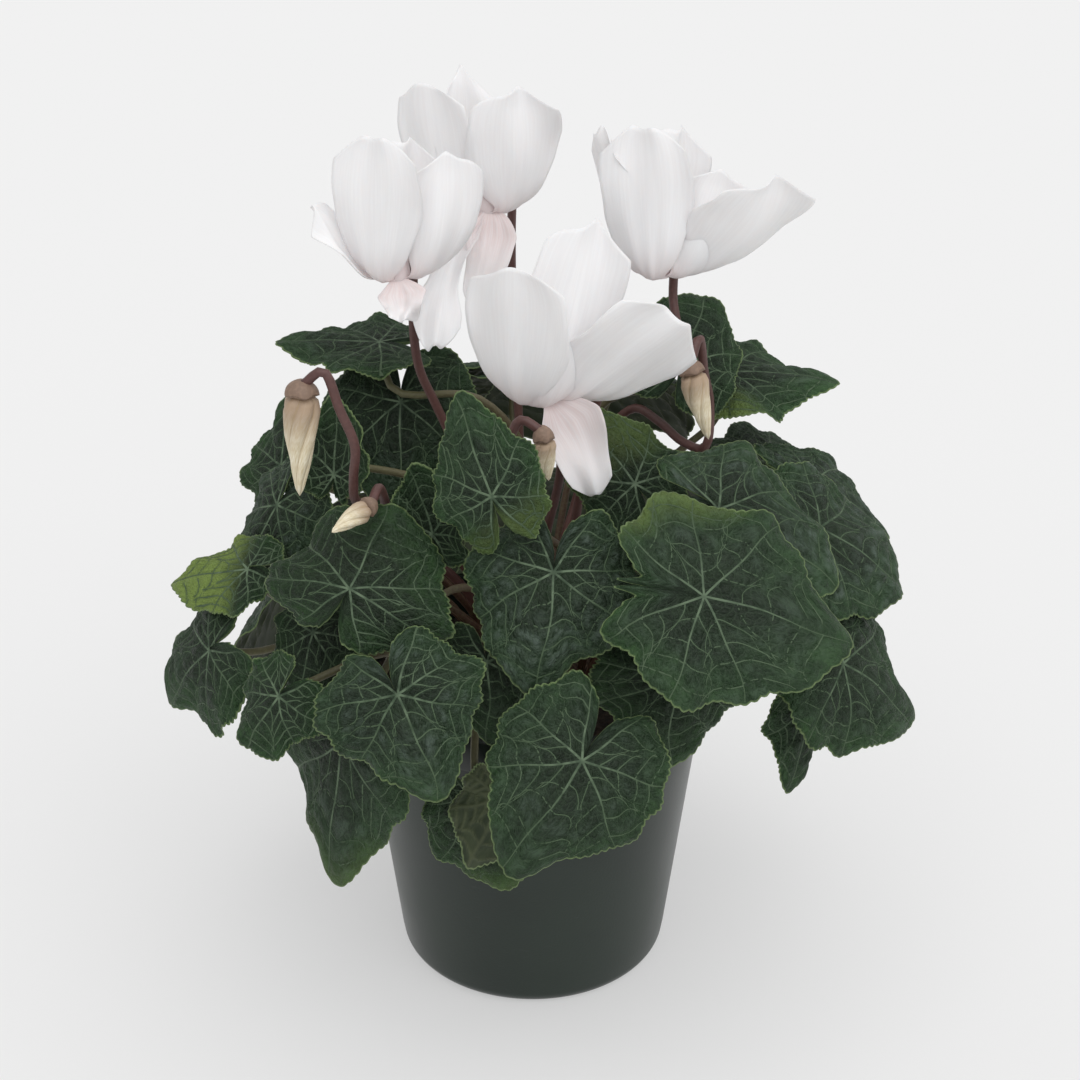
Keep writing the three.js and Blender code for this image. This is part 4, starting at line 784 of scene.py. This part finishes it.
def add_blade(surface, leaf, place, seed):
    sectors = HIDDEN_SECTORS if leaf.get("hidden") else SECTORS
    theta, rho, faces, (last, count) = blade_grid(sectors)
    radius = toothed_radius(leaf, theta)
    lines = vein_network(seed)
    vein = vein_distance(leaf, lines, flat_place(leaf, theta, rho, radius))
    height = relief(leaf, theta, rho, vein)
    thin = 1 - 0.55 * smoothstep(rho, 0.9, 1)
    flat = np.column_stack([rho * np.sin(theta), rho * np.cos(theta), np.full_like(rho, 0.7 * seed)])
    marks = dict(blade=flat, edge=(1 - rho) * radius, vein=vein, share=np.ones_like(rho))
    base, total = len(surface.vertices), len(theta)
    half = thin * BLADE_THICKNESS / 2
    upper = blade_point(leaf, theta, rho, height + half, radius) + place
    lower = blade_point(leaf, theta, rho, height - half, radius) + place
    surface.add(upper, faces, 0, **marks)
    surface.add(lower, [face[::-1] for face in faces], 1, **marks)
    surface.join_edges([base + last + k for k in range(count)], total)
    tree = BVHTree.FromPolygons(upper.tolist(), faces)
    for kind, angles, shares in lines:
        add_vein(surface, leaf, place, tree, kind, angles, shares, 0.7 * seed)


def add_vein(surface, leaf, place, tree, kind, angles, shares, seed):
    """A low ridge that lies on the blade's upper side along a vein."""
    line = flat_place(leaf, angles, shares)
    way = np.gradient(line, axis=0)
    way /= np.linalg.norm(way, axis=1)[:, None] + 1e-9
    aside = np.column_stack([-way[:, 1], way[:, 0]])
    n = len(line)
    half = np.linspace(*VEIN_WIDTHS[kind], n)[:, None] / 2
    rise = wave_height(leaf, angles, shares)
    vertices = []
    for step, lift in ((-1, 0.4), (0, 1.9), (1, 0.4)):
        flat = line + step * half * aside
        for point in bent_blade(leaf, flat[:, 0], flat[:, 1], rise) + place:
            spot, normal, _, _ = tree.find_nearest(Vector(point))
            vertices.append(spot + normal * VEIN_LIFT * lift)
    share = np.linspace(0, 1, n) if kind == "main" else np.full(n, 0.7)
    flat = np.column_stack([shares * np.sin(angles), shares * np.cos(angles), np.full(n, seed)])
    surface.add(vertices, grid_faces(2, n - 1), 3, blade=np.tile(flat, (3, 1)), share=np.tile(share, 3))


def add_stalk(surface, line, radius, flare, taper, sides, material):
    """A stalk along a line, wider at its foot by flare and narrower at its end by taper."""
    share = np.linspace(0, 1, len(line))
    radii = radius + flare * np.exp(-share * 14) - taper * np.exp((share - 1) * 60)
    surface.add(*tube(line, radii, sides), material, share=np.repeat(share, sides))


def back_leaves():
    """The rule that fills the side turned away from the front."""
    random = seeded_random(BACK_SEED)
    made = {}
    for ring in BACK_RINGS:
        for i in range(ring["count"]):
            draws = [next(random) for _ in range(10)]
            azimuth = ring["first"] + (ring["last"] - ring["first"]) * i / (ring["count"] - 1)
            azimuth += 8 * (draws[0] - 0.5) + 16 * (draws[3] - 0.5)
            made[f"{ring['name']}_{i + 1}"] = blade(
                (azimuth, ring["rise"] + 14 * (draws[4] - 0.5)), 50 * (draws[5] - 0.5),
                ring["length"] * (0.9 + 0.2 * draws[6]), (20 + 20 * draws[7], 20 + 20 * draws[8]),
                (30, 20), (1.8, 4, 6 * draws[9]), 1, 0.4, 0, hidden=True)
    return made


def build_leaves(underside, stalk, vein):
    for number, (name, leaf) in enumerate({**LEAVES, **back_leaves()}.items()):
        leaf["points"] = HIDDEN_MARGIN_POINTS if leaf.get("hidden") else MARGIN_POINTS
        node = "leaf_" + name
        place = blade_place(node, leaf)
        surface = Surface()
        add_blade(surface, leaf, place, number)
        under = place - STALK_SINK * leaf_frame(leaf)[0]
        line = smooth_line(stalk_line(node, 4, 1.25, under), 30)
        add_stalk(surface, line, LEAF_STALK_RADIUS, 0.18, 0.6, 10, 2)
        top = leaf_material(node + "_top", leaf)
        stands_for(surface.build("fine_" + name, [top, underside, stalk, vein]), node)


# Blooms
def bezier(points, t):
    a, b, c, d = (np.asarray(p, float) for p in points)
    t = t[..., None]
    place = a * (1 - t) ** 3 + 3 * b * t * (1 - t) ** 2 + 3 * c * t ** 2 * (1 - t) + d * t ** 3
    slope = 3 * (b - a) * (1 - t) ** 2 + 6 * (c - b) * t * (1 - t) + 3 * (d - c) * t ** 2
    return place, slope / np.linalg.norm(slope, axis=-1, keepdims=True)


def petal_point(mouth, petal, s, q, offset):
    """A point of a petal: s runs from its base to its tip, q from -1 to 1 across it."""
    azimuth, reach, width, twist, trough, belly, kind = petal
    out, level = compass(azimuth)
    tip = mouth + reach
    start = mouth + out * (TUBE_RADIUS - 1.4) + (0, 0, 1)
    lip = start + out * PETAL_LIP[0] - (0, 0, PETAL_LIP[1])
    shoulder = (tip + mouth) / 2 + out * belly
    centre, along = bezier((start, lip, shoulder, tip), s)
    across = level - along * (along @ level)[..., None]
    across /= np.linalg.norm(across, axis=-1, keepdims=True)
    turn = math.radians(twist) * np.sin(np.pi / 2 * np.minimum(1, s / PETAL_TWIST_END))[..., None]
    across = across * np.cos(turn) + np.cross(along, across) * np.sin(turn)
    normal = np.cross(along, across)
    half = width / 2 * petal_width(s, kind)
    bulge = trough * np.sin(np.pi * np.minimum(1, s * 1.1)) * (q * q - 0.4)
    ripple = 1.2 * s * s * q * np.sin(9 * s + 3 * q)
    return centre + across * (half * q)[..., None] + normal * (bulge + ripple + offset)[..., None]


def petal_width(s, kind):
    """The solids' width, with its corners rounded off."""
    fine = np.linspace(0, 1, 201)
    kernel = np.exp(-np.linspace(-2, 2, 25) ** 2)
    padded = np.pad(interpolate(PETAL_WIDTHS[kind], fine), 12, mode="edge")
    smooth = np.convolve(padded, kernel / kernel.sum(), mode="valid")
    return np.interp(s, fine, smooth)


def petal_relief(s, q, seed):
    """Fine lengthwise pleats and a soft frill along the edge, in millimetres."""
    pleats = 0.2 * np.sin(13 * q + seed) * smoothstep(s, 0.05, 0.3) * (1 - 0.85 * s)
    keel = -0.5 * np.exp(-(q / 0.16) ** 2) * smoothstep(s, 0.05, 0.3) * smoothstep(s, 0.9, 0.5)
    edge = np.abs(q) ** 3 * smoothstep(s, 0.3, 0.8)
    frill = 1.4 * edge * np.sin(12 * s + 2.5 * np.sign(q) + seed)
    top = 1.2 * smoothstep(s, 0.6, 1) * np.sin(5 * q + 2 * seed)
    crumple = 0.9 * np.sin(6 * s + 2.5 * q + seed) * np.sin(4 * q - 3 * s + 2 * seed)
    return pleats + keel + frill + top + crumple * smoothstep(s, 0.15, 0.6)


def add_petal(surface, mouth, petal, seed):
    """Both faces of a petal and its edge. The tip is rounded and a little wavy, and so are the sides."""
    s = np.repeat(np.linspace(0, 1, PETAL_ROWS + 1), PETAL_COLUMNS + 1)
    q = np.tile(np.linspace(-1, 1, PETAL_COLUMNS + 1), PETAL_ROWS + 1)
    bowed = s - s ** 3 * (0.1 * np.abs(q) ** 2.2 + 0.014 * (1 + np.sin(6 * q + 3 * seed)))
    q = q * (1 + 0.035 * smoothstep(s, 0.2, 0.5) * np.sin(11 * s + seed + 2 * np.sign(q)))
    height = petal_relief(bowed, q, seed)
    thin = 1 - 0.5 * smoothstep(np.maximum(np.abs(q), s), 0.8, 1)
    # Hanging petals get painted shade: their along share is squeezed so that the base's pink tint and
    # painted shade reach out along the whole petal.
    tint_and_shade_scale = 0.45 if petal[-1] == "hanging" else 1.0
    mark = np.column_stack([tint_and_shade_scale * s, q, np.full_like(s, seed)])
    base = len(surface.vertices)
    for side in (1, -1):
        offset = height + side * thin * PETAL_THICKNESS / 2
        surface.add(petal_point(mouth, petal, bowed, q, offset),
                    grid_faces(PETAL_ROWS, PETAL_COLUMNS, side == 1), 0, petal=mark)
    grid = base + np.arange(len(s)).reshape(PETAL_ROWS + 1, PETAL_COLUMNS + 1)
    ring = [*grid[0, :-1], *grid[:-1, -1], *grid[-1, :0:-1], *grid[:0:-1, 0]]
    surface.join_edges([int(i) for i in ring], len(s))


def lathe(profile, sides):
    """Vertices and faces of a closed turned form, from (radius, z) pairs that start and end on the axis."""
    middle = [ring_points(radius, z, circle(sides)) for radius, z in profile[1:-1]]
    vertices = np.vstack([(0, 0, profile[0][1]), *middle, (0, 0, profile[-1][1])])
    faces = [(0, 1 + (i + 1) % sides, 1 + i) for i in range(sides)]
    faces += ring_quads(len(profile) - 3, sides, 1)
    top = len(vertices) - 1
    start = 1 + (len(profile) - 3) * sides
    faces += [(start + i, start + (i + 1) % sides, top) for i in range(sides)]
    return vertices, faces


def turned_towards(points, direction, place):
    """Points made along +Z, turned so that +Z follows the direction, and moved."""
    turn = Vector((0, 0, 1)).rotation_difference(Vector(unit(direction))).to_matrix()
    return np.asarray(points) @ np.array(turn).T + place


def add_tube_of_bloom(surface, mouth):
    """The short round tube that the petals leave, with its open, darker mouth below."""
    steps = [(1.3, 0.6), (0.8, 0.05), (0.3, 0.05), (0, 0.5), (0.1, 2.5), (0.5, 5.5), (1, 7.6), (2, 8)]
    profile = [(0, 3.2), (1.4, 3), *((TUBE_RADIUS - inset, z) for inset, z in steps), (0, TUBE_LENGTH)]
    sides = 40
    vertices, faces = lathe(profile, sides)
    throat = [int(min(face) < 1 + 2 * sides) for face in faces]
    # The tube takes the petals' base pink tint and painted shade.
    surface.add(vertices + mouth, faces, throat, petal=np.tile((0.06, 0, 0), (len(vertices), 1)))


def calyx(radius):
    """A small dome with five pointed lobes, its opening at z = 0."""
    rows, sides = 8, 40
    t, angles = ring_grid(rows, sides)
    lobe = np.cos(5 * angles)
    r = radius * (1 - 0.12 * t - 0.55 * t ** 3) * (1 + 0.05 * lobe * (1 - t))
    z = 0.98 * CALYX_HEIGHT * t + 0.45 * (1 - t) ** 3 * (1 - lobe)
    return ring_points(r, z, angles), closed_rings(rows, sides)


def build_flower_stalk(name, end, base, axis, radius, material, calyx_material):
    node = name + "_stalk"
    line = smooth_line(stalk_line(node, 5, FLOWER_STALK_RADIUS, end), 70)
    surface = Surface()
    add_stalk(surface, line, 0.94 * FLOWER_STALK_RADIUS, 0.15, 0, 14, 0)
    vertices, faces = calyx(radius)
    surface.add(turned_towards(vertices, axis, base), faces, 1, share=np.ones(len(vertices)))
    stands_for(surface.build("fine_" + node, [material, calyx_material]), node)


def build_blooms(petal, throat, stalk, green):
    for number, (name, (mouth, petals)) in enumerate(BLOOMS.items()):
        mouth = np.array(mouth)
        surface = Surface()
        for order, entry in enumerate(petals):
            add_petal(surface, mouth, entry, 1.7 * order + 3.1 * number)
        add_tube_of_bloom(surface, mouth)
        stands_for(surface.build("fine_" + name, [petal, throat]), name + "_petals")
        top = mouth + (0, 0, TUBE_LENGTH + 2.4)
        base = mouth + (0, 0, TUBE_LENGTH + 0.3)
        build_flower_stalk(name, top, base, (0, 0, 1), TUBE_RADIUS, stalk, green)


def build_buds(cream, stalk, green):
    """Closed buds with twisted ridges, each hanging from its calyx."""
    rows, sides = 40, 60
    t, angles = ring_grid(rows, sides)
    ridge = np.abs(np.sin(BUD_RIDGES / 2 * angles))
    shape = interpolate(BUD_SHAPE, t) * (1 + BUD_RIDGE_DEPTH * (2 * ridge ** 0.7 - 1))
    mark = np.column_stack([t, 1 - ridge, 0 * t])
    for name, (neck, tip, radius) in BUDS.items():
        axis = unit(np.subtract(neck, tip))
        length = math.dist(neck, tip) - CALYX_HEIGHT
        points = ring_points(radius * shape, t * length, angles + 2 * np.pi * BUD_TURNS * t)
        points = turned_towards(points, -axis, neck - axis * (CALYX_SEAT + FIT_GAP))
        surface = Surface()
        surface.add(points, closed_rings(rows, sides), 0, petal=mark)
        stands_for(surface.build("fine_" + name, [cream]), name + "_petals")
        build_flower_stalk(name, neck - axis, neck - axis * CALYX_SEAT, axis, 0.95 * radius, stalk, green)


# Pot, soil and tuber
def pot_radius(z):
    return POT_FOOT_RADIUS + POT_WALL_SLOPE * z


def build_pot(material):
    profile = [(0, 0), (FOOT_PAD_RADIUS, 0), (FOOT_PAD_RADIUS + 1, FOOT_RECESS),
               (FOOT_RING_INSIDE - 1, FOOT_RECESS), (FOOT_RING_INSIDE, 0)]
    for angle in np.radians(np.linspace(-90, 0, 13)):
        inset, rise = POT_CORNER_RADIUS * (1 - math.cos(angle)), 1 + math.sin(angle)
        profile.append((POT_FOOT_RADIUS - inset + 0.5 * rise, POT_CORNER_RADIUS * rise))
    band = POT_HEIGHT - RIM_BAND_HEIGHT
    neck, lip = pot_radius(band), pot_radius(POT_HEIGHT) + RIM_BAND_STEP
    inside = pot_radius(POT_HEIGHT) - POT_WALL
    profile += [(pot_radius(z), z) for z in np.linspace(8, band - 0.6, 24)]
    profile += [(neck, band), (neck + 0.8 * RIM_BAND_STEP, band + 0.5), (neck + RIM_BAND_STEP, band + 1.2),
                (lip, POT_HEIGHT - 1), (lip - 0.3, POT_HEIGHT - 0.25), (lip - 0.9, POT_HEIGHT),
                (inside + 0.3, POT_HEIGHT), (inside, POT_HEIGHT - 0.4)]
    profile += [(pot_radius(z) - POT_WALL, z) for z in np.linspace(POT_HEIGHT - 4, POT_FLOOR_TOP + 3, 12)]
    profile += [(pot_radius(POT_FLOOR_TOP) - POT_WALL - 3, POT_FLOOR_TOP), (0, POT_FLOOR_TOP)]
    pot = new_object("fine_pot", *lathe(profile, 160), [material])
    cut_drains(pot)
    pot.data.polygons.foreach_set("use_smooth", [True] * len(pot.data.polygons))
    pot.data.set_sharp_from_angle(angle=math.radians(CRISP_ABOVE))
    stands_for(pot, "pot")


def cut_drains(pot):
    """Six drain holes through the floor."""
    cutters = Surface()
    for low in ring_points(DRAIN_CIRCLE_RADIUS, -6, circle(DRAIN_COUNT)):
        cutters.add(*tube([low, low + (0, 0, 15)], [DRAIN_RADIUS] * 2, 32))
    tool = cutters.build("drain_cutters", [])
    cut = pot.modifiers.new("drains", "BOOLEAN")
    cut.operation, cut.solver, cut.object = "DIFFERENCE", "EXACT", tool
    evaluated = pot.evaluated_get(bpy.context.evaluated_depsgraph_get())
    mesh = bpy.data.meshes.new_from_object(evaluated)
    pot.modifiers.clear()
    pot.data = mesh
    bpy.data.objects.remove(tool)


def lumps(x, y, seed):
    """A sum of waves in odd directions, for uneven ground, between about -1 and 1."""
    total = np.zeros_like(x)
    random = seeded_random(seed)
    for size in (14, 9, 6, 4, 2.6, 1.7):
        for _ in range(3):
            angle, phase = 2 * math.pi * next(random), 2 * math.pi * next(random)
            along = x * math.cos(angle) + y * math.sin(angle)
            total += size / 20 * np.sin(2 * math.pi * along / size + phase)
    return total / 2.2


def build_soil(material):
    """A turned form that fills the pot, its top uneven and drawn down a little at the wall."""
    inset, bottom, rings = POT_WALL + FIT_GAP, POT_FLOOR_TOP + FIT_GAP, 46
    edge = pot_radius(SOIL_TOP - SOIL_MOUND) - inset
    corner = bottom + 3.4
    profile = [(0, bottom), (pot_radius(bottom) - inset - 3.2, bottom), (pot_radius(corner) - inset, corner)]
    profile += [(edge * k / rings, SOIL_TOP) for k in range(rings, 0, -1)] + [(0, SOIL_TOP - 1)]
    vertices, faces = lathe(profile, 180)
    x, y, z = vertices.T
    reach = np.hypot(x, y)
    uneven = SOIL_LUMPS * (lumps(x, y, SOIL_SEED) * (1 - (reach / edge) ** 12) - 1)
    sunk = np.minimum(uneven - SOIL_MOUND * smoothstep(reach, edge - 9, edge), 0)
    vertices[:, 2] += np.where(z == SOIL_TOP, sunk, 0)
    stands_for(new_object("fine_soil", vertices, faces, [material]), "soil")


def build_tuber(material):
    turns = np.linspace(0, math.pi, 49)
    vertices, faces = lathe(list(zip(np.sin(turns), -np.cos(turns))), 120)
    bark = lumps(vertices[:, 0] * 30 + 40 * vertices[:, 2], vertices[:, 1] * 30, BARK_SEED)
    vertices *= (0.98 + 0.018 * bark)[:, None] * (TUBER_RADIUS, TUBER_RADIUS, TUBER_HALF_HEIGHT)
    vertices[:, 2] += TUBER_CENTRE
    stands_for(new_object("fine_tuber", vertices, faces, [material]), "tuber")


# Studio: the camera stands where the photo's perspective puts it
CAMERA_PLACE = (2.4, -643, 476)
CAMERA_PITCH = 26.9
IMAGE_SIZE = 1080
FOCAL_PIXELS = 2272
SENSOR_WIDTH = 36.0
WORLD_STRENGTH = 0.62
KEY_LIGHT_FROM = (0.25, -0.5, 1)
KEY_LIGHT_ENERGY = 1.6
KEY_LIGHT_SPREAD = 80
FLOOR_REACH = 6000


def build_camera():
    data = bpy.data.cameras.new("camera")
    data.sensor_width = SENSOR_WIDTH
    data.sensor_fit = "HORIZONTAL"
    data.lens = SENSOR_WIDTH * FOCAL_PIXELS / IMAGE_SIZE
    camera = placed("camera", data)
    camera.location = Vector(CAMERA_PLACE) * MM
    camera.rotation_euler = (math.radians(90 - CAMERA_PITCH), 0, 0)
    SCENE.camera = camera


def build_studio():
    SCENE.view_settings.view_transform = "Standard"
    world = bpy.data.worlds.new("studio")
    world.use_nodes = True
    backdrop = world.node_tree.nodes["Background"].inputs
    backdrop["Color"].default_value = (1, 1, 1, 1)
    backdrop["Strength"].default_value = WORLD_STRENGTH
    SCENE.world = world
    data = bpy.data.lights.new("soft_key", "SUN")
    data.energy = KEY_LIGHT_ENERGY
    data.angle = math.radians(KEY_LIGHT_SPREAD)
    turn = Vector(KEY_LIGHT_FROM).to_track_quat("Z", "Y")
    placed("soft_key", data).rotation_euler = turn.to_euler()
    corners = [(x * FLOOR_REACH, y * FLOOR_REACH, 0) for x, y in ((-1, -1), (1, -1), (1, 1), (-1, 1))]
    new_object("floor", corners, [(0, 1, 2, 3)], [floor_material()])


build_camera()
build_studio()
build_pot(pot_material())
build_soil(soil_material())
build_tuber(tuber_material())
leaf_stalk = stalk_material("leaf_stalk", (0.1, 0.045, 0.03), (0.11, 0.105, 0.05), 0.5)
flower_stalk = stalk_material("flower_stalk", (0.12, 0.05, 0.04), (0.09, 0.04, 0.035), 0.5)
sepal = stalk_material("calyx", (0.2, 0.13, 0.1), (0.21, 0.14, 0.1), 0.6)
build_leaves(underside_material(), leaf_stalk, vein_material())
build_blooms(petal_material(), throat_material(), flower_stalk, sepal)
build_buds(bud_material(), flower_stalk, sepal)
